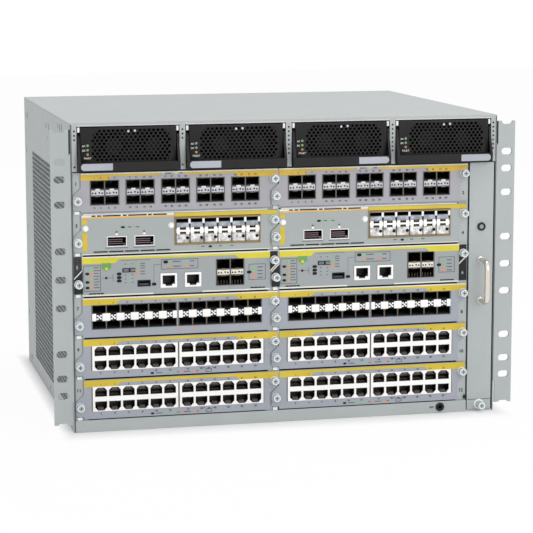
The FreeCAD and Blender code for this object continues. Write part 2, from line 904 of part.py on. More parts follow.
def build_card_cage():
    """Three uprights with their air windows, the card rails and the bright tabs between the lugs."""
    low = WALL
    tall = size("cage_top") - low
    back = FRONT + size("upright_setback")
    wall = size("upright_wall")
    thick = size("web_wall")
    left_edge = size("card_left") - size("lug_width") + size("lug_play") / 2
    middle_web = size("card_left") + COLUMN_PITCH - size("web_inset")
    middle_edge = middle_web - (size("middle_upright_width") - thick) / 2
    right_web = middle_web + COLUMN_PITCH
    right_edge = size("fan_panel_left") - size("card_gap") - size("right_upright_width")
    uprights = [
        box("upright_left", (left_edge, back, low), (size("left_upright_width"), wall, tall)),
        box("upright_middle", (middle_edge, back, low), (size("middle_upright_width"), wall, tall)),
        box("upright_right", (right_edge, back, low), (size("right_upright_width"), wall, tall)),
    ]
    webs = [web_with_window("web_left", left_edge, low, tall),
            web_with_window("web_middle", middle_web, low, tall),
            web_with_window("web_right", right_web, low, tall)]
    frames = [fuse("cage_left", [uprights[0], webs[0]]), fuse("cage_middle", [uprights[1], webs[1]]),
              fuse("cage_right", [uprights[2], webs[2]])]
    near = size("left_rail_reach")
    far = size("right_rail_reach")
    rail_spans = (((left_edge + thick, near), (middle_web - far, far)),
                  ((middle_web + thick, near), (right_web - far, far)))
    pieces = []
    for number in range(1, SLOT_ROWS * SLOT_COLUMNS + 1):
        slot = Slot(number)
        up = slot.base + port_base(slot.kind) - size("board_thickness") - GAP - size("rail_height")
        for index, (left, reach) in enumerate(rail_spans[slot.column]):
            pieces.append(box(f"{slot.name}_rail_{index}", (left, back + wall, up),
                              (reach, size("rail_length"), size("rail_height"))))
        tab_left = slot.left - size("lug_width") / 2 - size("tab_width") / 2
        tab_up = slot.base + size("lug_foot") - GAP * 2 - size("tab_height")
        pieces.append(box(f"{slot.name}_tab", (tab_left, back - size("tab_rise"), tab_up),
                          (size("tab_width"), size("tab_rise"), size("tab_height"))))
    node("card_cage", fuse("cage", frames + pieces))


def build_backplane():
    """The upright circuit board that the cards and the supplies plug into."""
    left = size("card_left")
    width = size("fan_panel_left") - size("card_gap") - left
    low = size("backplane_bottom")
    node("backplane", box("backplane_sheet", (left, BACKPLANE, low),
                          (width, size("backplane_thickness"), size("backplane_top") - low)))


def build_ground_jack():
    """The round socket for a wrist strap, through the front strip."""
    across = size("jack_stud_across")
    up = size("jack_stud_height")
    proud = size("jack_collar_proud")
    collar = round_bar("jack_collar", "y", (across, FRONT - proud, up), size("jack_collar_radius"), proud)
    barrel = round_bar("jack_barrel", "y", (across, FRONT - proud, up), size("jack_stud_radius"),
                      size("jack_stud_length"))
    bore = round_bar("jack_bore", "y", (across, FRONT - proud - BREAK_OUT, up), size("jack_stud_bore"),
                    size("jack_stud_length"))
    node("ground_jack", cut("jack", fuse("jack_blank", [collar, barrel]), [bore]))


# Power supplies

def rotor(name, axis, centre, hub, radius, width, blades):
    """A fan rotor from the centre of its low end: a hub with pitched flat blades."""
    across, back, up = (Size.of(value).value for value in centre)
    drum = round_bar(f"{name}_drum", axis, centre, hub, width)
    pitch = math.radians(BLADE_PITCH)
    chord = (width - BLADE_THICKNESS * 2) / math.sin(pitch)
    root = hub / OCTAGON_CORNER - BLADE_THICKNESS
    pieces = [drum]
    turned = TURNS[axis]
    middle = VECTOR(across, back, up) + turned.multVec(VECTOR(0, 0, width.value / 2))
    for index in range(blades):
        blade = DOC.addObject("Part::Box", f"{name}_blade_{index}")
        bind(blade, "Length", radius - root)
        bind(blade, "Width", chord)
        bind(blade, "Height", BLADE_THICKNESS)
        lean = FreeCAD.Rotation(VECTOR(1, 0, 0), BLADE_PITCH)
        spin = FreeCAD.Rotation(VECTOR(0, 0, 1), 360.0 * index / blades)
        turn = turned.multiply(spin).multiply(lean)
        start = VECTOR(root.value, -chord.value / 2, -BLADE_THICKNESS / 2)
        blade.Placement = FreeCAD.Placement(middle + turn.multVec(start), turn)
        pieces.append(blade)
    return fuse(name, pieces)


def build_supply(index):
    """A power supply: its case and grille, two fans, corner clips and a swinging handle."""
    number = index + 1
    name = f"supply_{number}"
    middle = bay_centre(index)
    base = size("shelf_top") + GAP
    half = size("supply_width") / 2
    nose_half = size("nose_width") / 2
    height = size("supply_height")
    proud = size("nose_proud")
    nose_depth = size("nose_depth")
    wall = size("supply_wall")

    nose = DOC.addObject("PartDesign::Body", f"{name}_nose")
    pad(nose, f"{name}_nose_block", "XZ_Plane", [rectangle(-nose_half, 0, nose_half * 2, height)],
        nose_depth + proud, True)
    columns = count("grille_columns")
    rows = count("grille_rows")
    step_across = size("grille_width") / columns
    step_up = size("grille_height") / rows
    first_across = size("grille_centre_across") - size("grille_width") / 2 + step_across / 4
    first_up = size("grille_centre_up") - size("grille_height") / 2 + step_up / 4
    for shift in range(2):
        cell = diamond(first_across + step_across / 2 * shift, first_up + step_up / 2 * shift,
                       size("grille_hole"))
        hole = pocket(nose, f"{name}_grille_{shift}", "XZ_Plane", [cell], size("nose_wall") + GAP)
        repeat(nose, hole, step_across, columns, step_up, rows)
    place(nose, (middle, FRONT - proud, base))

    block = box(f"{name}_block", (middle - half, FRONT + nose_depth, base),
                (half * 2, size("supply_depth") - nose_depth, height))
    cavity_front = size("nose_wall") - proud
    cavity_back = size("supply_cavity_depth")
    front_hollow = box(f"{name}_front_hollow",
                       (middle - nose_half + wall, FRONT + cavity_front, base + wall),
                       ((nose_half - wall) * 2, cavity_back - cavity_front, height - wall * 2))
    back_hollow = box(f"{name}_back_hollow",
                      (middle - half + wall, FRONT + nose_depth + wall, base + wall),
                      ((half - wall) * 2, cavity_back - nose_depth - wall, height - wall * 2))
    pin_hole = round_bar(f"{name}_pin_hole", "x",
                        (middle - nose_half - BREAK_OUT, FRONT + size("bail_pivot_setback"),
                         base + size("bail_pivot_height")),
                        (size("bail_pin_radius") + size("bail_pin_play")) * OCTAGON_CORNER,
                   (nose_half + BREAK_OUT) * 2)
    shell = cut(f"{name}_shell", fuse(f"{name}_blank", [nose, block]), [front_hollow, back_hollow, pin_hole])

    fan_back = size("supply_fan_setback")
    fan_width = size("supply_fan_width")
    stators = []
    for fan in range(2):
        across = middle + size("supply_fan_first") + size("supply_fan_pitch") * fan
        up = base + size("supply_fan_height")
        stator_start = fan_back + fan_width + GAP
        stators.append(round_bar(f"{name}_stator_{fan}", "y", (across, FRONT + stator_start, up),
                                size("supply_stator_radius"), cavity_back - stator_start))
        spinner = rotor(f"{name}_rotor_{fan}", "y", (across, FRONT + fan_back, up), size("supply_fan_hub"),
                        size("supply_fan_radius"), fan_width, count("supply_fan_blades"))
        node(f"{name}_fan_{'ab'[fan]}", spinner)
    plug_width = size("supply_plug_width")
    plug_length = size("backplane_setback") - size("plug_gap") - size("supply_depth")
    plug = box(f"{name}_plug", (middle - plug_width / 2, FRONT + size("supply_depth"), base + wall),
               (plug_width, plug_length, size("plug_height")))
    clip = size("clip_width")
    clips = [box(f"{name}_clip_{side}", (left, FRONT, base + height - size("clip_height")),
                 (clip, nose_depth, size("clip_height")))
             for side, left in enumerate((middle - nose_half - clip, middle + nose_half))]
    body = fuse(f"{name}_body", [shell, plug] + stators + clips)
    node(f"{name}_case", body)
    build_bail(name, middle, base)


def build_bail(name, middle, base):
    """The handle of a power supply: a flat bar on two arms that turn on pins near the top."""
    thick = size("bail_thickness")
    proud = size("bail_proud")
    bar_height = size("bail_bar_height")
    width = size("bail_width")
    arm = size("bail_arm")
    pivot_up = size("bail_pivot_height")
    pivot_back = size("bail_pivot_setback")
    ear = size("bail_ear")
    flat = ear * OCTAGON_SIDE
    bar = box(f"{name}_bar", (middle - width / 2, FRONT - proud, base + GAP),
              (width, thick, bar_height - GAP))
    outline = [(-proud, GAP), (thick - proud, GAP), (thick - proud, bar_height),
               (pivot_back + ear, pivot_up - flat), (pivot_back + ear, pivot_up + flat),
               (pivot_back + flat, pivot_up + ear), (pivot_back - flat, pivot_up + ear),
               (pivot_back - ear, pivot_up + flat), (pivot_back - ear, pivot_up - ear),
               (-proud, bar_height)]
    pieces = [bar]
    nose_half = size("nose_width") / 2
    reach = width / 2 - arm - nose_half + size("supply_wall")
    for side, left in enumerate((middle - width / 2, middle + width / 2 - arm)):
        cheek = DOC.addObject("PartDesign::Body", f"{name}_arm_{side}")
        pad(cheek, f"{name}_arm_{side}_sheet", "YZ_Plane", [outline], arm)
        pieces.append(place(cheek, (left, FRONT, base)))
        inner = left + arm if side == 0 else left - reach
        pieces.append(round_bar(f"{name}_pin_{side}", "x", (inner, FRONT + pivot_back, base + pivot_up),
                               size("bail_pin_radius"), reach))
    node(f"{name}_handle", fuse(f"{name}_bail", pieces))


# Fan module

def build_fan_module():
    """The tall fan module: its panel and frame, four rotors, the pull handle and the lamp."""
    left = size("fan_panel_left")
    panel_low = size("fan_panel_bottom")
    width = size("fan_panel_width")
    panel = box("fan_panel", (left, FRONT, panel_low), (width, PLATE, size("fan_panel_top") - panel_low))
    frame_left = left + size("fan_frame_inset")
    frame_width = size("fan_frame_width")
    frame_low = size("fan_frame_bottom")
    block = box("fan_block", (frame_left, FRONT + PLATE, frame_low),
                (frame_width, size("fan_frame_depth") - PLATE, size("fan_frame_top") - frame_low))
    rotor_left = frame_left + size("fan_rotor_inset")
    rotor_width = size("fan_rotor_width")
    mount_left = rotor_left + rotor_width + GAP
    mount_width = frame_left + frame_width - mount_left
    bore_radius = size("fan_radius") + size("fan_bore_gap")
    strut = size("fan_strut")
    bores = []
    mounts = []
    for column in range(FAN_COLUMNS):
        for row in range(FAN_ROWS):
            number = column * FAN_ROWS + row + 1
            back = FRONT + size("fan_first_setback") + size("fan_pitch") * column
            up = size("fan_first_height") + size("fan_pitch") * row
            bores.append(round_bar(f"fan_bore_{number}", "x", (frame_left - BREAK_OUT, back, up),
                             bore_radius * BORE_CORNER, frame_width + BREAK_OUT * 2, BORE_SIDES))
            mounts.append(round_bar(f"fan_mount_{number}", "x", (mount_left, back, up), size("fan_hub_radius"),
                              mount_width))
            strut_left = mount_left + GAP
            strut_wide = mount_width - GAP
            half = bore_radius * BORE_CORNER
            mounts.append(box(f"fan_strut_{number}_level", (strut_left, back - half, up - strut / 2),
                              (strut_wide, half * 2, strut)))
            mounts.append(box(f"fan_strut_{number}_upright", (strut_left, back - strut / 2, up - half),
                              (strut_wide, strut, half * 2)))
            spinner = rotor(f"module_rotor_{number}", "x", (rotor_left, back, up), size("fan_hub_radius"),
                            size("fan_radius"), rotor_width, count("fan_blades"))
            node(f"fan_rotor_{number}", spinner)
    frame = fuse("fan_frame", [cut("fan_bored", block, bores)] + mounts)
    tray = fuse("fan_tray_sheet", [panel, frame])
    screw_seat = (left + width / 2, FRONT, size("module_screw_height"))
    screw = thumb_screw("fan_screw", screw_seat, size("module_screw_rise"))
    node("fan_tray", group("fan_tray_set", [tray, screw]))
    build_pull_handle(left + width / 2)
    build_lamp(left + width / 2)


def build_pull_handle(across):
    """A bent rod with both feet on the fan panel."""
    half = size("handle_rod") / 2
    flat = half * OCTAGON_SIDE
    bend = size("handle_bend")
    far = size("handle_reach") - half
    corner = far - bend
    span = size("handle_span")
    line = [(0, 0), (-corner, 0), (-far + bend * BEND_SHARE, bend * BEND_SHARE), (-far, bend),
            (-far, span - bend), (-far + bend * BEND_SHARE, span - bend * BEND_SHARE), (-corner, span),
            (0, span)]
    section = [(half, -flat), (half, flat), (flat, half), (-flat, half), (-half, flat), (-half, -flat),
               (-flat, -half), (flat, -half)]
    body = DOC.addObject("PartDesign::Body", "pull_handle")
    profile = draw(body, "pull_section", "XZ_Plane", [section])
    spine = draw(body, "pull_line", "YZ_Plane", [line], closed=False)
    rod = body.newObject("PartDesign::AdditivePipe", "pull_rod")
    rod.Profile = profile
    rod.Spine = spine
    rod.Transition = "Right corner"
    node("fan_handle", place(body, (across, FRONT, size("handle_height") - span / 2)))


def build_lamp(across):
    """The round power lamp: a dark bezel with a recessed lens."""
    proud = size("lamp_proud")
    up = size("lamp_height")
    ring = round_bar("lamp_ring", "y", (across, FRONT - proud, up), size("lamp_radius"), proud)
    recess = round_bar("lamp_recess", "y", (across, FRONT - proud - 1, up), size("lamp_lens_radius"), proud)
    lens = round_bar("lamp_lens", "y", (across, FRONT - proud / 2, up), size("lamp_lens_radius"), proud / 2)
    bezel = cut("lamp_bezel", ring, [recess, lens])
    node("power_lamp", group("lamp_set", [bezel, lens]))


def export_all():
    """Checks every object and writes each piece to its own file."""
    DOC.recompute()
    for obj in DOC.Objects:
        if {"Invalid", "Error"} & set(obj.State):
            raise RuntimeError(f"{obj.Name} failed: {obj.State}")
    for name, obj in NODES:
        if obj.Shape.isNull() or not obj.Shape.isValid():
            raise RuntimeError(f"{name} has no valid shape")
    os.makedirs("parts", exist_ok=True)
    for name, obj in NODES:
        obj.Shape.exportStep(f"parts/{name}.step")


def build_all():
    """Builds every piece of the switch."""
    build_base_pan()
    build_side_wall("side_wall_left", -HALF)
    build_side_wall("side_wall_right", INNER)
    build_top_cover()
    build_rear_panel()
    build_power_inlets()
    build_rack_ear("rack_ear_left", -1)
    build_rack_ear("rack_ear_right", 1)
    build_bay()
    build_card_cage()
    build_backplane()
    build_ground_jack()
    for number in range(1, SLOT_ROWS * SLOT_COLUMNS + 1):
        build_faceplate(Slot(number))
        build_board(Slot(number))
    for index in range(SUPPLY_COUNT):
        build_supply(index)
    build_fan_module()


build_all()
export_all()
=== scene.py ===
"""Dresses the modular chassis switch and sets it in a plain studio.

Sizes are millimetres in the model's own frame: +X to the right, +Y to the rear, +Z up. The faces of the
cards stand in the plane Y = FRONT, and a card's own pieces are given from its low left corner there.
"""
import logging
import math
from contextlib import contextmanager
from dataclasses import dataclass, field
from enum import Enum
from typing import Any, Callable, Iterable, Iterator, Optional, Sequence

import bpy
from mathutils import Matrix, Vector


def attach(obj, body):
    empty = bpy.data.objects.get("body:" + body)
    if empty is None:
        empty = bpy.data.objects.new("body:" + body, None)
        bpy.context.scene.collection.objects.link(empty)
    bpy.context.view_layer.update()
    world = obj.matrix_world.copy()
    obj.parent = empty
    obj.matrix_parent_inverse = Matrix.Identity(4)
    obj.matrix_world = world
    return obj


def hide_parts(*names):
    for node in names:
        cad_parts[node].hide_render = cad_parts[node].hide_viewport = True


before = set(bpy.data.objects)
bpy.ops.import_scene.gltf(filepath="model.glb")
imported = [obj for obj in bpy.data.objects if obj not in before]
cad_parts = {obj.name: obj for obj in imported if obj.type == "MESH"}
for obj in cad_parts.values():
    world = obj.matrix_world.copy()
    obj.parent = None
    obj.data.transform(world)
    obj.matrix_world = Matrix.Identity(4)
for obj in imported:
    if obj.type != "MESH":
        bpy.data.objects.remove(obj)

LOG = logging.getLogger("switch")
MM = 0.001
FRONT = -181.5
CARD_LEFT = -211.7
CARD_LOW = 13.15
COLUMN_PITCH = 201.6
ROW_PITCH = 41.65
ROWS = 6
SUPPLY_PITCH = 109.0
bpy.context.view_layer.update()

Span = tuple[float, float]
Point = tuple[float, float, float]
Mesh = bpy.types.Object
Socket = bpy.types.NodeSocket


class Look(Enum):
    """The families of surface that the switch has."""

    PAINT = "paint"
    PLASTIC = "plastic"
    SHEET = "sheet"
    CHROME = "chrome"
    LAMP = "lamp"


@dataclass
class Graph:
    """A node tree, with short calls for its nodes and links."""

    tree: bpy.types.NodeTree

    @classmethod
    def bare(cls, owner: bpy.types.ID) -> "Graph":
        """Empties the node tree of a world or a material.

        Args:
            owner: The world or material.

        Returns:
            The calls for its tree.
        """
        owner.use_nodes = True
        owner.node_tree.nodes.clear()
        return cls(owner.node_tree)

    def feed(self, socket: Socket, value: Any) -> None:
        """Links a source to an input, or sets the input's plain value.

        Args:
            socket: The input.
            value: Another node's output, or a plain value.
        """
        if isinstance(value, bpy.types.NodeSocket):
            self.tree.links.new(value, socket)
        else:
            socket.default_value = value

    def node(self, kind: str, feeds: Optional[dict] = None, **options: Any) -> bpy.types.Node:
        """Adds a node.

        Args:
            kind: Its type, without the prefix that all types share.
            feeds: The source or value of each input, by the input's name or number.
            options: The node's own settings.

        Returns:
            The node.
        """
        made = self.tree.nodes.new(f"ShaderNode{kind}")
        for key, value in options.items():
            setattr(made, key, value)
        for key, value in (feeds or {}).items():
            self.feed(made.inputs[key], value)
        return made

    def math(self, operation: str, *values: Any) -> Socket:
        """Returns the result of one sum."""
        return self.node("Math", dict(enumerate(values)), operation=operation).outputs[0]

    def mix(self, share: Socket, first: Any, second: Any) -> Socket:
        """Returns a colour between two, by the share of the second."""
        return self.node("Mix", {"Factor": share, 6: first, 7: second}, data_type="RGBA").outputs[2]

    def ramp(self, factor: Socket, finish: "Finish", start: float = 0.0, end: float = 1.0) -> Socket:
        """Runs a finish's colour from darker to lighter by its spread.

        Args:
            factor: What moves the colour from dark to light.
            finish: The finish.
            start: The factor at which it starts to lighten.
            end: The factor at which it is lightest.

        Returns:
            The colour.
        """
        node = self.node("ValToRGB", {"Fac": factor})
        for stop, place, scale in zip(node.color_ramp.elements, (start, end),
                                      (1.0 - finish.spread, 1.0 + finish.spread * 0.5)):
            stop.position = place
            stop.color = finish.linear(scale)
        return node.outputs["Color"]

    def ranged(self, value: Socket, low: float, high: float, **limits: float) -> Socket:
        """Returns a value brought between two others."""
        feeds = {"Value": value, "To Min": low, "To Max": high}
        return self.node("MapRange", {**feeds, **{key.replace("_", " "): at for key, at in limits.items()}}).outputs[0]

    def place(self) -> Socket:
        """Returns the object's own coordinates."""
        return self.node("TexCoord").outputs["Object"]

    def axes(self, place: Socket) -> bpy.types.NodeOutputs:
        """Returns a place's three coordinates, by name."""
        return self.node("SeparateXYZ", {0: place}).outputs


@dataclass(frozen=True)
class Finish:
    """A surface: its colour in display values of 0 to 255, and how far it varies."""

    name: str
    colour: tuple[int, int, int]
    slot: str
    look: Look = Look.PAINT
    roughness: float = 0.45
    spread: float = 0.05
    grain: float = 700.0
    relief: float = 0.06
    stretch: Point = (1.0, 1.0, 1.0)
    glow: float = 0.0
    shine: float = 0.5

    def linear(self, scale: float = 1.0) -> tuple[float, float, float, float]:
        """Returns the colour as the shader takes it, made lighter or darker by scale."""
        shares = [min(part / 255 * scale, 1.0) for part in self.colour]
        return (*(share / 12.92 if share <= 0.04045 else ((share + 0.055) / 1.055) ** 2.4 for share in shares), 1.0)

    def material(self) -> bpy.types.Material:
        """Makes the material on first use.

        Returns:
            The material, with its colour, gloss and grain in its nodes.
        """
        made = bpy.data.materials.get(self.name)
        if made:
            return made
        made = bpy.data.materials.new(self.name)
        made.use_nodes = True
        graph = Graph(made.node_tree)
        spots = graph.node("Mapping", {"Vector": graph.place(), "Scale": self.stretch}).outputs["Vector"]
        cloud, fine = (graph.node("TexNoise", {"Vector": spots, "Scale": scale, "Detail": detail}).outputs["Fac"]
                       for scale, detail in ((self.grain * 0.05, 3.0), (self.grain, 2.0)))
        bump = graph.node("Bump", {"Strength": self.relief, "Distance": 0.0004, "Height": fine})
        feeds = {"Metallic": 1.0 if self.look in (Look.SHEET, Look.CHROME) else 0.0,
                 "Specular IOR Level": self.shine, "Normal": bump.outputs["Normal"],
                 "Base Color": graph.ramp(cloud, self, 0.25, 0.75),
                 "Roughness": graph.ranged(fine, max(self.roughness - 0.06, 0.03), self.roughness + 0.06)}
        if self.look is Look.PLASTIC and self.shine > 0.3:
            feeds.update({"Coat Weight": 0.15, "Coat Roughness": 0.25})
        if self.glow:
            feeds.update({"Emission Color": self.linear(), "Emission Strength": self.glow})
        for key, value in feeds.items():
            graph.feed(made.node_tree.nodes["Principled BSDF"].inputs[key], value)
        return made


CASE = Finish("case_paint", (174, 180, 180), "case_grey", roughness=0.45, spread=0.02, shine=0.4)
COVER = Finish("cover_paint", (178, 183, 183), "case_grey", roughness=0.45, spread=0.02, shine=0.4)
STEEL = Finish("plain_sheet", (150, 152, 152), "bare_steel", Look.SHEET, 0.38, 0.08, 500, 0.05, (1, 6, 1))
# Dark grey painted shade, for the floors and backs inside the cages and the shelf inside the supplies' bays.
SHADED_STEEL = Finish("shaded_sheet", (54, 56, 58), "bare_steel", Look.PAINT, 0.6, shine=0.3)
BRIGHT = Finish("bright_plating", (205, 206, 205), "plated_steel", Look.SHEET, 0.28, 0.05, 900, 0.04)
WALL_EDGE = Finish("cage_wall_edge", (120, 113, 104), "plated_steel", Look.SHEET, 0.35, 0.15, 900, 0.04)
CAGE_RIM = Finish("cage_rim", (96, 92, 88), "plated_steel", Look.SHEET, 0.35, 0.15, 900, 0.04)
MIRROR = Finish("flap_mirror", (222, 216, 204), "plated_steel", Look.SHEET, 0.22, 0.5, 3600, 0.04)
LATCH = Finish("latch_plating", (196, 199, 206), "plated_steel", Look.PLASTIC, 0.3, 0.12, 300)
SHADE = Finish("fold_shade", (118, 126, 134), "face_grey", Look.PLASTIC, 0.4, 0.05)
FLAP = Finish("flap_plating", (156, 162, 172), "plated_steel", Look.SHEET, 0.3, 0.3, 3600, 0.04)
FACE_LILAC = Finish("face_lilac", (166, 165, 171), "face_grey", roughness=0.42, spread=0.02, shine=0.4)
FACE_CASE = Finish("face_plain", (165, 172, 171), "face_grey", roughness=0.42, spread=0.02, shine=0.4)
FACE_COOL = Finish("face_cool", (157, 162, 164), "face_grey", roughness=0.42, spread=0.02, shine=0.4)
FACE_BLUE = Finish("face_blue", (159, 164, 174), "face_grey", roughness=0.42, spread=0.02, shine=0.4)
YELLOW = Finish("band_yellow", (210, 184, 38), "face_grey", Look.PLASTIC, 0.38, 0.06)
GOLD = Finish("band_gold", (212, 175, 42), "face_grey", Look.PLASTIC, 0.38, 0.06)
LEMON = Finish("band_lemon", (213, 201, 44), "face_grey", Look.PLASTIC, 0.38, 0.06)
ORANGE = Finish("strip_orange", (226, 176, 84), "face_grey", Look.PLASTIC, 0.38, 0.06)
# Cream: along the cards' top edges and the lugs' slants it paints a highlight; on the latch parts and the control
# cards' foot line it is their pale colour.
CREAM = Finish("cream_and_highlight", (226, 226, 216), "face_grey", Look.PLASTIC, 0.3, 0.04)
# Pale grey: the own colour of pale print and parts; on the cage tabs it is also a painted highlight.
PALE = Finish("pale_and_highlight", (232, 235, 234), "case_grey", Look.PLASTIC, 0.4, 0.04)
WHITE = Finish("white_moulding", (250, 250, 249), "plated_steel", Look.PLASTIC, 0.28, 0.03)
SHELL_WHITE = Finish("jack_shell", (250, 248, 246), "plated_steel", Look.PLASTIC, 0.28, 0.03)
SCREW_GREY = Finish("screw_satin", (190, 200, 202), "plated_steel", Look.PLASTIC, 0.3, 0.05)
# Darker grey painted shade at the bottom of the screws' cross recesses.
SCREW_RECESS_SHADE = Finish("screw_recess_shade", (128, 138, 146), "plated_steel", Look.PLASTIC, 0.4, 0.08)
BROWN = Finish("notch_brown", (118, 92, 52), "plated_steel", Look.PLASTIC, 0.45, 0.15)
BRASS = Finish("frame_brass", (140, 122, 84), "plated_steel", Look.PLASTIC, 0.4, 0.12)
MAROON = Finish("socket_maroon", (122, 100, 106), "plated_steel", Look.PLASTIC, 0.4, 0.2)
INK = Finish("black_trim", (24, 24, 26), "supply_black", Look.PLASTIC, 0.5, 0.12, shine=0.25)
# Near-black painted shade: it fills the insides of ports, slots, holes and bores and the gaps behind latch plates; on
# the card gaskets it is partly a real black strip.
HOLLOW_SHADE = Finish("port_inside", (14, 13, 14), "supply_black", Look.PLASTIC, 0.55, 0.2, shine=0.2)
GRAPHITE = Finish("grey_print", (78, 82, 88), "face_grey", Look.PLASTIC, 0.5, 0.1, shine=0.3)
LEDGE = Finish("jack_ledge", (86, 82, 80), "plated_steel", Look.PLASTIC, 0.35, 0.12)
LUG = Finish("lug_black", (34, 34, 37), "supply_black", Look.PLASTIC, 0.5, 0.12, shine=0.25)
NOSE = Finish("supply_nose", (27, 25, 25), "supply_black", Look.PLASTIC, 0.45, 0.15, 1200, 0.1, shine=0.22)
ROTOR = Finish("fan_plastic", (24, 24, 25), "fan_black", Look.PLASTIC, 0.4, 0.1, shine=0.3)
ARM = Finish("arm_black", (32, 30, 30), "handle_black", Look.PLASTIC, 0.45, 0.12, 1200, 0.1, shine=0.22)
LABEL = Finish("label_plate", (172, 175, 185), "handle_black", Look.PLASTIC, 0.4, 0.05)
CHROME = Finish("handle_plating", (228, 222, 212), "handle_chrome", Look.CHROME, 0.12, 0.03, 500, 0.01)
CLIP = Finish("clip_white", (242, 241, 236), "supply_black", Look.PLASTIC, 0.35, 0.04)
LENS = Finish("lamp_lens", (140, 144, 146), "lamp_black", Look.PLASTIC, 0.2, 0.1)
RING = Finish("lamp_ring", (22, 22, 24), "lamp_black", Look.PLASTIC, 0.35, 0.1, shine=0.3)
INLET = Finish("inlet_black", (28, 28, 30), "inlet_black", Look.PLASTIC, 0.4, 0.1, shine=0.3)
DULL_GREEN = Finish("unlit_green", (124, 158, 110), "lamp_black", Look.LAMP, 0.3, 0.06)
DULL_AMBER = Finish("unlit_amber", (186, 128, 68), "lamp_black", Look.LAMP, 0.3, 0.06)
RIM = Finish("screw_rim", (228, 233, 231), "plated_steel", Look.PLASTIC, 0.3, 0.05)
# Pale grey painted highlight along the cover's front lip.
LIP_HIGHLIGHT = Finish("lip_highlight", (204, 203, 203), "case_grey", Look.PLASTIC, 0.3, 0.03)
GREEN = Finish("lamp_green", (112, 190, 104), "lamp_black", Look.LAMP, 0.3, 0.06, glow=0.15)
TAB_GREEN = Finish("tab_green", (96, 158, 82), "face_grey", Look.PLASTIC, 0.35, 0.06)
AMBER = Finish("lamp_amber", (236, 128, 70), "lamp_black", Look.LAMP, 0.3, 0.06, glow=0.15)
OLIVE = Finish("lamp_olive", (200, 204, 134), "lamp_black", Look.LAMP, 0.3, 0.06)
PCB = Finish("board_green", (34, 84, 52), "board_green", Look.PLASTIC, 0.45, 0.2, 900, 0.1)


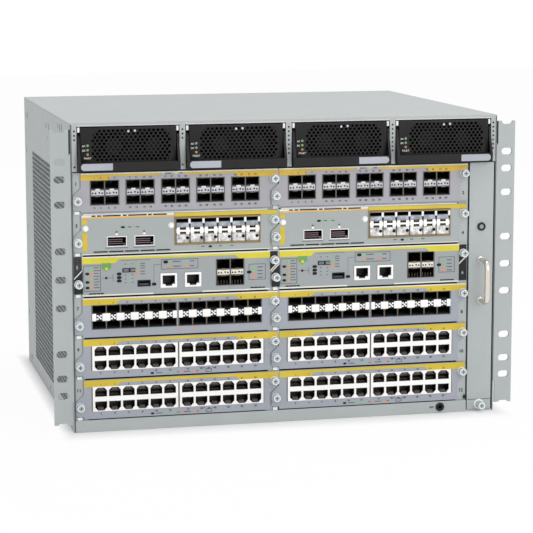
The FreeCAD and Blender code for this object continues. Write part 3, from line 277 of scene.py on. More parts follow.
class Bench:
    """The modelling steps that all pieces share. Places are millimetres."""

    @staticmethod
    def clear() -> None:
        """Leaves nothing selected."""
        for piece in bpy.context.selected_objects:
            piece.select_set(False)

    @staticmethod
    def only(piece: Mesh) -> Mesh:
        """Selects one piece alone and makes it active.

        Args:
            piece: The piece.

        Returns:
            The same piece.
        """
        Bench.clear()
        piece.select_set(True)
        bpy.context.view_layer.objects.active = piece
        return piece

    @staticmethod
    @contextmanager
    def editing(piece: Mesh, whole: bool = True) -> Iterator[None]:
        """Holds one piece in edit mode while the work inside the block is done.

        Args:
            piece: The piece.
            whole: Whether to select all of it first.
        """
        Bench.only(piece)
        bpy.ops.object.mode_set(mode="EDIT")
        if whole:
            bpy.ops.mesh.select_all(action="SELECT")
        yield
        bpy.ops.object.mode_set(mode="OBJECT")

    @staticmethod
    def settle(piece: Mesh) -> Mesh:
        """Puts a piece's place, turn and size into its mesh.

        Args:
            piece: The piece.

        Returns:
            The same piece.
        """
        Bench.only(piece)
        bpy.ops.object.transform_apply(location=True, rotation=True, scale=True)
        return piece

    @staticmethod
    def move(piece: Mesh, shift: Point) -> Mesh:
        """Moves a piece's mesh over."""
        piece.data.transform(Matrix.Translation(Vector(shift) * MM))
        return piece

    @staticmethod
    def block(low: Point, high: Point, edge: float = 0.0, steps: int = 1) -> Mesh:
        """Models a block with bevelled edges.

        Args:
            low: Its lowest corner.
            high: Its highest corner.
            edge: Width of the bevel on every edge.
            steps: Facets of the bevel.

        Returns:
            The piece, with its place in its mesh.
        """
        Bench.clear()
        bpy.ops.mesh.primitive_cube_add(size=1.0, location=[(a + b) / 2 * MM for a, b in zip(low, high)])
        piece = bpy.context.object
        piece.scale = [abs(b - a) * MM for a, b in zip(low, high)]
        Bench.settle(piece)
        return Bench.bevel(piece, edge, steps) if edge else piece

    @staticmethod
    def slab(across: Span, up: Span, rise: float = 0.2, sink: float = 0.1, edge: float = 0.0) -> Mesh:
        """Models a flat plate on a card's face, from its span across and up."""
        return Bench.block((across[0], -rise, up[0]), (across[1], sink, up[1]), edge)

    @staticmethod
    def rod(start: Point, radius: float, length: float, axis: str = "y", sides: int = 24,
            edge: float = 0.0) -> Mesh:
        """Models a round bar.

        Args:
            start: Centre of its low end.
            radius: Its radius.
            length: Its length.
            axis: The axis along which it lies.
            sides: Facets round it.
            edge: Width of the bevel round both ends.

        Returns:
            The piece, with its place in its mesh.
        """
        Bench.clear()
        along = "xyz".index(axis)
        turn = ((0, math.pi / 2, 0), (math.pi / 2, 0, 0), (0, 0, 0))[along]
        middle = list(start)
        middle[along] += length / 2
        bpy.ops.mesh.primitive_cylinder_add(vertices=sides, radius=radius * MM, depth=length * MM,
                                            location=[v * MM for v in middle], rotation=turn)
        piece = Bench.settle(bpy.context.object)
        if edge:
            Bench.bevel(piece, edge, 1, lambda a, b: abs((a - b).normalized()[along]) < 0.5)
        return piece

    @staticmethod
    def bevel(piece: Mesh, width: float, steps: int = 1,
              test: Optional[Callable[[Vector, Vector], bool]] = None) -> Mesh:
        """Bevels the edges whose two ends pass a test, or all of them.

        Args:
            piece: The piece.
            width: Width of the bevel.
            steps: Facets of the bevel.
            test: Takes an edge's two ends, and says whether it is bevelled.

        Returns:
            The same piece.
        """
        bpy.context.tool_settings.mesh_select_mode = (False, True, False)
        mesh = piece.data
        for part in (mesh.polygons, mesh.vertices):
            part.foreach_set("select", [False] * len(part))
        points = mesh.vertices
        for line in mesh.edges:
            ends = [points[index].co for index in line.vertices]
            line.select = test is None or test(ends[0], ends[1])
            if line.select:
                for index in line.vertices:
                    points[index].select = True
        with Bench.editing(piece, False):
            bpy.ops.mesh.bevel(offset=width * MM, segments=steps, affect="EDGES", clamp_overlap=True)
        return piece

    @staticmethod
    def pill(across: Span, up: Span, rise: float = 0.25, sink: float = 0.1, steps: int = 3) -> Mesh:
        """Models a plate whose corners are fully round, such as a lamp's window.

        Args:
            across: Its span across.
            up: Its span up.
            rise: How far it stands in front of the face.
            sink: How far it reaches into the face.
            steps: Facets of each corner.

        Returns:
            The piece.
        """
        radius = min(across[1] - across[0], up[1] - up[0]) * 0.49
        return Bench.bevel(Bench.slab(across, up, rise, sink), radius, steps,
                           lambda a, b: abs((a - b).normalized()[1]) > 0.9)

    @staticmethod
    def slice(piece: Mesh, point: Point, *normals: Point) -> Mesh:
        """Cuts away what lies beyond each plane through a point, and closes the cuts.

        Args:
            piece: The piece.
            point: A point on every plane.
            normals: The side of each plane that is cut away.

        Returns:
            The same piece.
        """
        for normal in normals:
            with Bench.editing(piece):
                bpy.ops.mesh.bisect(plane_co=[v * MM for v in point], plane_no=normal, use_fill=True,
                                    clear_outer=True)
        return piece

    @staticmethod
    def copy(piece: Mesh, shift: Point) -> Mesh:
        """Copies a piece with a mesh of its own.

        Args:
            piece: The piece.
            shift: How far the copy is moved.

        Returns:
            The copy.
        """
        twin = piece.copy()
        twin.data = piece.data.copy()
        bpy.context.collection.objects.link(twin)
        return Bench.move(twin, shift)

    @staticmethod
    def row(piece: Mesh, count: int, step: Point, merge: bool = False) -> Mesh:
        """Repeats a piece in a row within its own mesh.

        Args:
            piece: The piece.
            count: How often it stands in the row.
            step: From one to the next.
            merge: Whether touching points become one.

        Returns:
            The same piece.
        """
        Bench.only(piece)
        array = piece.modifiers.new("row", "ARRAY")
        array.count = count
        array.use_relative_offset = False
        array.use_constant_offset = True
        array.constant_offset_displace = Vector(step) * MM
        array.use_merge_vertices = merge
        array.merge_threshold = 0.00001
        bpy.ops.object.modifier_apply(modifier="row")
        return piece

    @staticmethod
    def cut(piece: Mesh, *cutters: Mesh) -> Mesh:
        """Cuts pieces out of another, one after the other, and clears them away.

        Args:
            piece: The piece.
            cutters: The pieces to cut out of it.

        Returns:
            The same piece.
        """
        for cutter in cutters:
            Bench.only(piece)
            hollow = piece.modifiers.new("hollow", "BOOLEAN")
            hollow.operation = "DIFFERENCE"
            hollow.object = cutter
            bpy.ops.object.modifier_apply(modifier="hollow")
            bpy.data.objects.remove(cutter)
        return piece

    @staticmethod
    def join(pieces: Iterable[Mesh]) -> Mesh:
        """Makes one mesh of several.

        Args:
            pieces: The pieces.

        Returns:
            The first of them, which holds all.
        """
        parts = list(pieces)
        Bench.clear()
        for part in parts:
            part.select_set(True)
        bpy.context.view_layer.objects.active = parts[0]
        if len(parts) > 1:
            bpy.ops.object.join()
        return parts[0]

    @staticmethod
    def ring(piece: Mesh, sides: int, radius: float, turn: Point) -> Mesh:
        """Joins a flat outline to a round hole in its middle by a ring of faces.

        Args:
            piece: The outline.
            sides: Facets of the hole.
            radius: Radius of the hole.
            turn: The turn that lays the hole in the outline's plane.

        Returns:
            The same piece.
        """
        with Bench.editing(piece):
            bpy.ops.mesh.select_all(action="DESELECT")
            bpy.ops.mesh.primitive_circle_add(vertices=sides, radius=radius * MM, fill_type="NOTHING", rotation=turn)
            bpy.ops.mesh.select_all(action="SELECT")
            bpy.ops.mesh.bridge_edge_loops()
        return piece

    @staticmethod
    def thicken(piece: Mesh, push: Point) -> Mesh:
        """Joins a flat sheet's cells and gives the sheet its thickness.

        Args:
            piece: The sheet.
            push: Its thickness and the direction of it.

        Returns:
            The same piece.
        """
        with Bench.editing(piece):
            bpy.ops.mesh.remove_doubles(threshold=0.00002)
            bpy.ops.mesh.normals_make_consistent(inside=False)
            bpy.ops.mesh.extrude_region_move(TRANSFORM_OT_translate={"value": [v * MM for v in push]})
            bpy.ops.mesh.select_all(action="SELECT")
            bpy.ops.mesh.normals_make_consistent(inside=False)
        return piece

    @staticmethod
    def number(text: str, centre: Span, height: float, rise: float = 0.16) -> Mesh:
        """Models a plain number or word that stands upright on the front.

        Args:
            text: What it says.
            centre: Its middle, across and up.
            height: Its height.
            rise: How thick it is.

        Returns:
            The piece, as a mesh.
        """
        Bench.clear()
        bpy.ops.object.text_add(location=(centre[0] * MM, -rise * MM, (centre[1] - height * 0.36) * MM),
                                rotation=(math.pi / 2, 0, 0))
        line = bpy.context.object.data
        line.body = text
        line.size = height * MM
        line.align_x = "CENTER"
        line.resolution_u = 2
        line.offset = height * 0.02 * MM
        line.extrude = rise * MM / 2
        bpy.ops.object.convert(target="MESH")
        return Bench.settle(bpy.context.object)

    @staticmethod
    def finish(piece: Mesh, name: str, body: str, finish: Finish, shift: Point = (0.0, 0.0, 0.0),
               smooth: float = 30.0) -> Mesh:
        """Names a piece, moves it, gives it its finish and fixes it to a body.

        Args:
            piece: The mesh.
            name: Its name in the model.
            body: The moving body that carries it.
            finish: Its surface.
            shift: How far it still has to move.
            smooth: The angle up to which its faces shade as one, in degrees.

        Returns:
            The finished piece.
        """
        Bench.move(piece, shift)
        piece.name = name
        piece.data.name = name
        cover(piece, finish.material())
        Bench.only(piece)
        bpy.ops.object.shade_smooth_by_angle(angle=math.radians(smooth))
        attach(piece, body)
        return piece


def cover(piece: Mesh, material: bpy.types.Material) -> None:
    """Gives a piece one material in place of what it has."""
    piece.data.materials.clear()
    piece.data.materials.append(material)


def row_low(row: int) -> float:
    """Returns the lower edge of a row of cards, counted from the top."""
    return CARD_LOW + ROW_PITCH * (ROWS - 1 - row)


def coat(material: bpy.types.Material, *nodes: str) -> None:
    """Gives carried-over nodes a finished material.

    Args:
        material: The material.
        nodes: The nodes.
    """
    for node in nodes:
        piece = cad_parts[node]
        cover(bpy.data.objects[piece] if isinstance(piece, str) else piece, material)


@dataclass
class Trim:
    """A piece of a card's face, in the card's own millimetres."""

    suffix: str
    piece: Mesh
    finish: Finish


def trims_of(count: int = 1, step: float = 0.0, **pieces: tuple[Mesh, Finish]) -> list[Trim]:
    """Makes trims of named pieces, each repeated across the face where a count is given."""
    return [Trim(suffix, Bench.row(piece, count, (step, 0, 0)) if count > 1 else piece, finish)
            for suffix, (piece, finish) in pieces.items()]


class Kind(Enum):
    """The kinds of card, from the top row down."""

    ACCESS = 0
    MODULE = 1
    CONTROL = 2
    FIBRE = 3
    COPPER = 4


@dataclass
class Screw:
    """A captive thumbscrew: a knurled head with a pale rim and a cross recess whose bottom is painted darker as shade,
    on a pale collar.
    """

    radius: float = 3.85
    rise: float = 6.4
    rim: float = 2.75
    rim_rise: float = 0.2
    collar: float = 4.35
    collar_rise: float = 0.6
    recess: float = 0.7
    arm: float = 1.0
    reach: float = 2.1
    sides: int = 32
    knurl: float = 0.05
    knurl_depth: float = 0.12

    def cross(self, x: float, z: float, low: float, high: float) -> list[Mesh]:
        """Models two crossed bars between two depths."""
        return [Bench.block((x - across, low, z - up), (x + across, high, z + up))
                for across, up in ((self.reach, self.arm / 2), (self.arm / 2, self.reach))]

    def head(self, x: float, z: float) -> Mesh:
        """Models the knurled head with its cross recess: every second face of its rim is sunk.

        Args:
            x: Its middle across.
            z: Its middle up.

        Returns:
            The head.
        """
        head = Bench.rod((x, -self.rise, z), self.radius, self.rise, "y", self.sides, 0.35)
        bpy.context.tool_settings.mesh_select_mode = (False, False, True)
        for part in (head.data.edges, head.data.vertices):
            part.foreach_set("select", [False] * len(part))
        for face in head.data.polygons:
            turn = math.atan2(face.center.z - z * MM, face.center.x - x * MM) / (2 * math.pi) * self.sides
            face.select = abs(face.normal.y) < 0.3 and int(math.floor(turn + 0.5)) % 2 == 0
        with Bench.editing(head, False):
            bpy.ops.mesh.inset(thickness=self.knurl * MM, depth=-self.knurl_depth * MM, use_individual=True)
        return Bench.cut(head, *self.cross(x, z, -self.rise - 1, -self.rise + self.recess))

    def pale_rim(self, x: float, z: float) -> Mesh:
        """Models the pale ring round the head's face."""
        rim = Bench.rod((x, -self.rise - self.rim_rise, z), self.radius - 0.1, self.rim_rise + 0.1, "y", 24, 0.1)
        return Bench.cut(rim, Bench.rod((x, -self.rise - 1, z), self.rim, 2, "y", 24))

    def parts(self, *places: Span) -> list[Trim]:
        """Models screws as trims of one face.

        Args:
            places: Each screw's middle, across and up.

        Returns:
            The heads, rims, the crosses darkened as painted shade in the recesses, and collars.
        """
        depth = -self.rise + self.recess
        # The bars at the recess bottom take a darker grey, painted shade in the recess.
        crosses = [bar for x, z in places for bar in self.cross(x, z, depth - 0.05, depth + 0.1)]
        collars = [Bench.rod((x, -self.collar_rise, z), self.collar, self.collar_rise, "y", 24, 0.2)
                   for x, z in places]
        return trims_of(screws=(Bench.join([self.head(x, z) for x, z in places]), SCREW_GREY),
                        screw_rims=(Bench.join([self.pale_rim(x, z) for x, z in places]), RIM),
                        screw_crosses=(Bench.join(crosses), SCREW_RECESS_SHADE), screw_collars=(Bench.join(collars), WHITE))


@dataclass(frozen=True)
class Spot:
    """A corner on a card's face, from which pieces are measured across and up."""

    left: float
    low: float

    def block(self, across: Span, deep: Span, up: Span, edge: float = 0.0, steps: int = 1) -> Mesh:
        """Models a block from its spans across, in depth and up."""
        return Bench.block((self.left + across[0], deep[0], self.low + up[0]),
                           (self.left + across[1], deep[1], self.low + up[1]), edge, steps)


@dataclass
class CardFace:
    """What all card faces share: the bands, the captive screws and the rows of cages or jacks."""

    width: float = 200.2
    height: float = 39.9
    band_drop: float = 7.2
    band_left: float = 33.5
    band_right: float = 160.0
    band_thin: float = 3.4
    band_slope: float = 5.0
    cage_pitch: float = 14.3
    cage_tall: float = 8.9
    inside_tall: float = 8.2
    upper_rise: float = 15.7
    strip_rise: float = 8.7
    strip_tall: float = 7.2
    number_size: float = 2.5
    screw: Screw = field(default_factory=Screw)

    def band(self, finish: Finish, edge: bool = True, gap: Optional[Span] = None) -> list[Trim]:
        """Models the band along the top edge, deep at both ends with sloping steps.

        Args:
            finish: Its colour.
            edge: Whether a cream strip runs along the card's top edge, a painted highlight.
            gap: Where the thin middle is broken for the legend.

        Returns:
            The band, and the edge if there is one.
        """
        top = self.height
        low = top - self.band_drop
        thin = top - self.band_thin
        band = Bench.slab((0.3, self.width - 0.3), (low, top - 0.5))
        hollow = Bench.slab((self.band_left - 1, self.band_right + 1), (low - 1, thin), 1.0, 1.0)
        for x, side in ((self.band_left, -1), (self.band_right, 1)):
            Bench.slice(hollow, (x, 0, low), ((thin - low) * side, 0, self.band_slope))
        Bench.cut(band, hollow)
        if gap:
            Bench.cut(band, Bench.slab(gap, (thin - 1, top), 1.0, 1.0))
        trims = trims_of(band=(band, finish))
        if edge:
            # The cream strip on the top edge paints the highlight along the fold.
            trims += trims_of(edge=(Bench.slab((0.2, self.width - 0.2), (top - 1.25, top - 0.02), 0.3), CREAM))
        return trims

    def gasket(self, finish: Finish = HOLLOW_SHADE) -> list[Trim]:
        """Models the sealing strip on the card's top flange; black by default, it also paints the shade of the gap
        between rows.
        """
        piece = Bench.block((2.0, 0.7, self.height - 0.1), (190.0, 5.5, self.height + 1.35), 0.3)
        return trims_of(gasket=(piece, finish))

    def screws(self) -> list[Trim]:
        """Models the two captive screws."""
        return self.screw.parts((-3.6, 12.4), (self.width - 3.6, 30.2))

    @staticmethod
    def marks(places: Iterable[tuple[Span, Span]], rise: float = 0.25) -> Mesh:
        """Models small printed or lit marks as one piece."""
        return Bench.join([Bench.slab(across, up, rise) for across, up in places])

    @staticmethod
    def dashes(places: Iterable[Span], wide: float, tall: float, rise: float = 0.25) -> Mesh:
        """Models equal marks from their low left corners."""
        return CardFace.marks([((x, x + wide), (z, z + tall)) for x, z in places], rise)

    def pointed(self, x: float, z: float, half: float, tall: float, up: int) -> Mesh:
        """Models one small dark slot that comes to a point."""
        wedge = Bench.block((x - half, -0.95, z - tall / 2), (x + half, -0.4, z + tall / 2))
        return Bench.slice(wedge, (x, 0, z + tall / 2 * up), (tall, 0, half * up), (-tall, 0, half * up))

    def latches(self, spot: Spot, columns: int) -> list[Mesh]:
        """Models the sprung plate between two rows of cages.

        Args:
            spot: The strip's low left corner.
            columns: Cages in a row.

        Returns:
            The plate, its dark pointed slots, its upper tabs and its lower tabs, one set for each cage.
        """
        tall = self.strip_tall
        middle = spot.low + tall / 2 - 0.2
        pieces = (spot.block((1.1, self.cage_pitch - 0.5), (-0.8, -0.2), (1.1, tall - 1.1), 0.2),
                  Bench.join([self.pointed(spot.left + x, middle, 0.85, 1.9, up)
                              for x, up in ((2.5, 1), (5.3, 1), (9.2, -1), (12.0, 1))]),
                  spot.block((5.2, 9.7), (-1.1, -0.2), (tall - 1.3, tall + 0.4), 0.25),
                  spot.block((4.6, 10.2), (-1.0, -0.2), (-0.4, 1.0), 0.25))
        return [Bench.row(piece, columns, (self.cage_pitch, 0, 0)) for piece in pieces]

    def separators(self, left: float, low: float, columns: int, tall: float, wide: float = 0.4) -> Mesh:
        """Models the wall edges between neighbouring cages."""
        bar = Bench.slab((left + 0.25, left + 0.25 + wide), (low, low + tall), 0.5, -0.2, 0.08)
        return Bench.row(bar, columns + 1, (self.cage_pitch - 0.01, 0, 0))

    def hollow(self, left: float, low: float, columns: int, tall: float) -> Mesh:
        """Models the back and floor seen inside each cage, in a dark grey that paints the shade inside it.

        Args:
            left: Left edge of the first cage.
            low: Lower edge of the cages.
            columns: Cages in the row.
            tall: Height of a cage.

        Returns:
            The floors and ribs as one piece.
        """
        spot = Spot(left, low)
        floor = spot.block((1.2, 13.6), (1.0, 36.0), (0.2, 0.5))
        rib = spot.block((6.9, 8.1), (3.0, 30.0), (tall - 1.4, tall - 0.2))
        return Bench.row(Bench.join([floor, rib]), columns, (self.cage_pitch, 0, 0))

    def cages(self, left: float, base: float, columns: int) -> tuple[Mesh, Mesh]:
        """Models the wall edges and the insides of two rows of cages.

        Args:
            left: Left edge of the block.
            base: Its lower edge.
            columns: Cages in a row.

        Returns:
            The wall edges and the insides.
        """
        walls = [self.separators(left, low, columns, self.cage_tall) for low in (base, base + self.upper_rise)]
        insides = [self.hollow(left, low, columns, self.inside_tall)
                   for low in (base + 0.5, base + self.upper_rise + 0.2)]
        return Bench.join(walls), Bench.join(insides)

    def numbers(self, first: int, step: int, count: int, left: float, pitch: float, z: float) -> list[Mesh]:
        """Models a row of small port numbers."""
        return [Bench.number(str(first + step * index), (left + pitch * index, z), self.number_size)
                for index in range(count)]


@dataclass
class AccessFace(CardFace):
    """The top row: five groups of four cages on each card."""

    band_left: float = 27.0
    base: float = 8.0
    first: float = 9.3
    group_pitch: float = 35.7
    groups: int = 5

    def trims(self) -> list[Trim]:
        """Models the face's pieces.

        Returns:
            The trims.
        """
        strip = Spot(self.first, self.base + self.strip_rise)
        plate, dark, upper, lower = self.latches(strip, 2)
        walls, insides = self.cages(self.first, self.base, 2)
        digits = []
        for cage in range(self.groups * 2):
            left = self.first + 4.2 + self.group_pitch * (cage // 2) + self.cage_pitch * (cage % 2)
            for first, z in ((cage * 4 + 1, 34.9), (cage * 4 + 2, 5.2)):
                digits += self.numbers(first, 2, 2, left, 6.4, z)
        # A near-black bed behind the latch plates paints the shade between them.
        bed = strip.block((0.4, self.cage_pitch * 2 - 0.2), (-0.25, -0.12), (0.0, self.strip_tall))
        return self.band(GOLD, True, (79.5, 104.5)) + self.screws() + trims_of(
            self.groups, self.group_pitch, latch_bed=(bed, HOLLOW_SHADE), latches=(plate, LATCH), latch_slots=(dark, HOLLOW_SHADE),
            latch_tabs=(upper, CREAM), latch_feet=(lower, WALL_EDGE), walls=(walls, WALL_EDGE),
            cage_floors=(insides, SHADED_STEEL)) + trims_of(
            foot_line=(Bench.slab((0.3, self.width - 0.3), (0.5, 1.1), 0.15), SHADE),
            numbers=(Bench.join(digits), INK),
            lamp_marks=(self.marks([((81.6, 84.2), (37.2, 38.7)), ((93.8, 97.6), (37.2, 38.7))]), OLIVE),
            ticks=(self.marks([((85.0, 91.2), (37.6, 38.5)), ((99.2, 102.4), (37.6, 38.5))], 0.15), GRAPHITE))


@dataclass
class ModuleFace(CardFace):
    """The second row: two wide sockets and a removable module of twelve tall cages."""

    base: float = 8.0
    quad_first: float = 25.6
    quad_pitch: float = 27.8
    cage_left: float = 94.9
    module_wide: float = 86.3
    module_tall: float = 27.0
    star_middle: float = 7.5
    top_slots: tuple[Span, ...] = ((10.4, 14.3), (15.9, 20.1), (21.4, 39.7), (41.8, 45.5), (47.1, 65.7),
                                   (67.2, 70.9), (72.4, 86.0))

    def band_pieces(self) -> list[Trim]:
        """Models the gold line, the upright strips, the module's deep band, and cream strips along the top edge, a
        painted highlight, and along the foot.

        Returns:
            The trims.
        """
        # Cream strips: the top one paints the highlight along the module's top edge.
        edge = Bench.join([Bench.slab((0.3, 93.5), (37.9, self.height - 0.02), 0.25),
                           Bench.slab((0.3, 191.0), (0.05, 0.9), 0.2)])
        strips = Bench.join([Bench.slab((1.0, 5.9), (30.6, 35.4)), Bench.slab((1.0, 5.9), (3.9, 22.4))])
        # Black marks paint the shade inside the air slots.
        slots = [(across, (38.15, 39.45)) for across in self.top_slots]
        slots += [((x, x + 14.2), (2.2, 3.4)) for x in (12.0, 27.8, 43.6, 59.4, 75.2)]
        return trims_of(
            line=(Bench.slab((0.3, 93.5), (36.3, 37.9)), ORANGE), strips=(strips, YELLOW),
            band=(Bench.slab((94.4, self.width - 1.0), (35.3, self.height - 0.3), 0.5), YELLOW),
            edge=(edge, CREAM), air_slots=(self.marks(slots, 0.4), INK))

    def quads(self) -> list[Trim]:
        """Models the two wide sockets: a pale rim, ribs inside and a light pipe above.

        Returns:
            The trims.
        """
        left = self.quad_first
        spot = Spot(left, self.base)
        rim = spot.block((-0.3, 19.9), (-0.7, 0.0), (-0.3, 10.1), 0.2)
        Bench.cut(rim, spot.block((0.5, 19.1), (-2, 2), (0.5, 9.3)))
        ribs = [spot.block((0.6, 15.6), (-0.5, 3.0), (z, z + 0.7)) for z in (2.4, 4.4, 6.4)]
        key = spot.block((16.0, 18.6), (-0.5, 2.0), (1.6, 3.0), 0.2)
        pipe = Bench.block((left + 8.3, -0.6, 19.0), (left + 11.1, 0.05, 21.6), 0.3)
        Bench.slice(pipe, (left + 11.1, 0, 20.2), (1, 0, 1))
        Bench.slice(pipe, (left + 8.3, 0, 20.2), (-1, 0, 1))
        line = Bench.slab((left - 1.6, left + 20.8), (self.base - 1.9, self.base - 1.4), 0.15)
        return trims_of(2, self.quad_pitch, wide_rims=(rim, WHITE), wide_ribs=(Bench.join(ribs + [key]), MAROON),
                        light_pipes=(pipe, WHITE), wide_lines=(line, GRAPHITE))

    def module(self) -> list[Trim]:
        """Models the module's frame, flaps, light pipes and bright latch strip, with brass bars that paint shade along
        its top and the flaps' feet, and dark discs of painted shade in the flaps' bores.

        Returns:
            The trims.
        """
        left = self.cage_left
        low = self.base
        wide, tall, middle = self.module_wide, self.module_tall, self.star_middle
        spot = Spot(left, low)
        rim = spot.block((-1.3, wide + 1.3), (-0.5, 0.05), (-1.1, tall + 1.0), 0.2)
        Bench.cut(rim, spot.block((0.0, wide), (-2, 2), (0.0, tall)))
        flap = spot.block((0.9, 14.1), (-0.9, -0.3), (1.4, 9.8), 0.3)
        Bench.cut(flap, Bench.rod((left + 12.0, -3, low + 6.2), 1.75, 6, "y", 14))
        star = spot.block((0.7, 14.6), (-1.0, -0.3), (9.9, 16.9), 0.2)
        Bench.cut(star, *(spot.block((x - half, x + half), (-3, 3), (z - deep, z + deep))
                          for x, half, deep in ((middle, 3.1, 2.8), (0.2, 0.9, 1.9), (14.8, 0.9, 1.9))
                          for z in (9.6, 17.2)))
        notches = [spot.block((middle - 1.9, middle + 1.9), (-0.7, -0.35), (z - 0.6, z + 0.6)) for z in (10.3, 16.6)]
        return trims_of(
            module_frame=(rim, BRASS), walls=(self.separators(left, low, 6, tall), WALL_EDGE),
            # A brass bar paints the shade along the module's top.
            module_crown=(spot.block((0.0, wide), (-0.5, -0.1), (25.5, tall)), BRASS),
            # A near-black bed behind the latch stars paints the shade between them.
            latch_bed=(spot.block((0.3, wide - 0.3), (-0.4, -0.3), (9.9, 16.9)), HOLLOW_SHADE),
            cage_floors=(self.hollow(left, low + 17.4, 6, 9.4), SHADED_STEEL)) + trims_of(
            6, self.cage_pitch, flaps=(flap, MIRROR), latch_stars=(star, WHITE),
            # Dark discs paint the shade inside the flaps' bores.
            flap_bores=(Bench.rod((left + 12.0, -0.55, low + 6.2), 1.7, 0.3, "y", 14), HOLLOW_SHADE),
            # Brass strips paint the shade at the flaps' feet.
            flap_feet=(spot.block((0.9, 14.1), (-0.8, -0.3), (0.1, 1.5), 0.15), BRASS),
            upper_flaps=(spot.block((0.9, 13.6), (-0.8, -0.3), (17.0, 21.6), 0.3), FLAP),
            upper_shades=(spot.block((0.9, 13.6), (-0.7, -0.3), (21.5, 22.1)), GRAPHITE),
            upper_pipes=(spot.block((13.0, 15.4), (-1.1, -0.3), (20.6, 25.6), 0.4), WHITE),
            pipe_buds=(spot.block((13.5, 15.1), (-1.1, -0.3), (17.6, 19.6), 0.3), INK),
            latch_notches=(Bench.join(notches), BROWN))

    def trims(self) -> list[Trim]:
        """Models the face's pieces.

        Returns:
            The trims.
        """
        places = ((4.3, 26.5), (90.5, 27.3))
        heads = Bench.join([Bench.rod((x, -1.6, z), 2.3, 1.7, "y", 16, 0.3) for x, z in places])
        seats = Bench.join([Bench.rod((x, -0.3, z), 3.1, 0.4, "y", 24, 0.1) for x, z in places])
        ovals = [Bench.pill((39.7, 43.7), (25.9, 27.9), 0.3), Bench.pill((128.6, 132.2), (3.6, 5.6), 0.3)]
        dots = Bench.join([Bench.rod((self.quad_first + x, -0.75, 22.4), 0.8, 0.8, "y", 12)
                           for x in (9.7, self.quad_pitch + 9.7)])
        green = self.dashes(((44.6, 25.9), (51.9, 25.9), (135.4, 3.8), (147.4, 3.8)), 1.3, 2.0)
        ticks = self.dashes(((46.8, 26.5), (54.8, 26.5), (139.0, 4.4), (151.0, 4.4), (121.0, 4.4)), 3.4, 0.8, 0.15)
        return (self.band_pieces() + self.quads() + self.module() + self.screws() + self.gasket(PALE)
                + trims_of(pipe_marks=(dots, GRAPHITE), module_screws=(heads, WHITE), module_seats=(seats, PALE),
                           legends=(Bench.join(ovals), INK), green_marks=(green, GREEN), ticks=(ticks, GRAPHITE)))


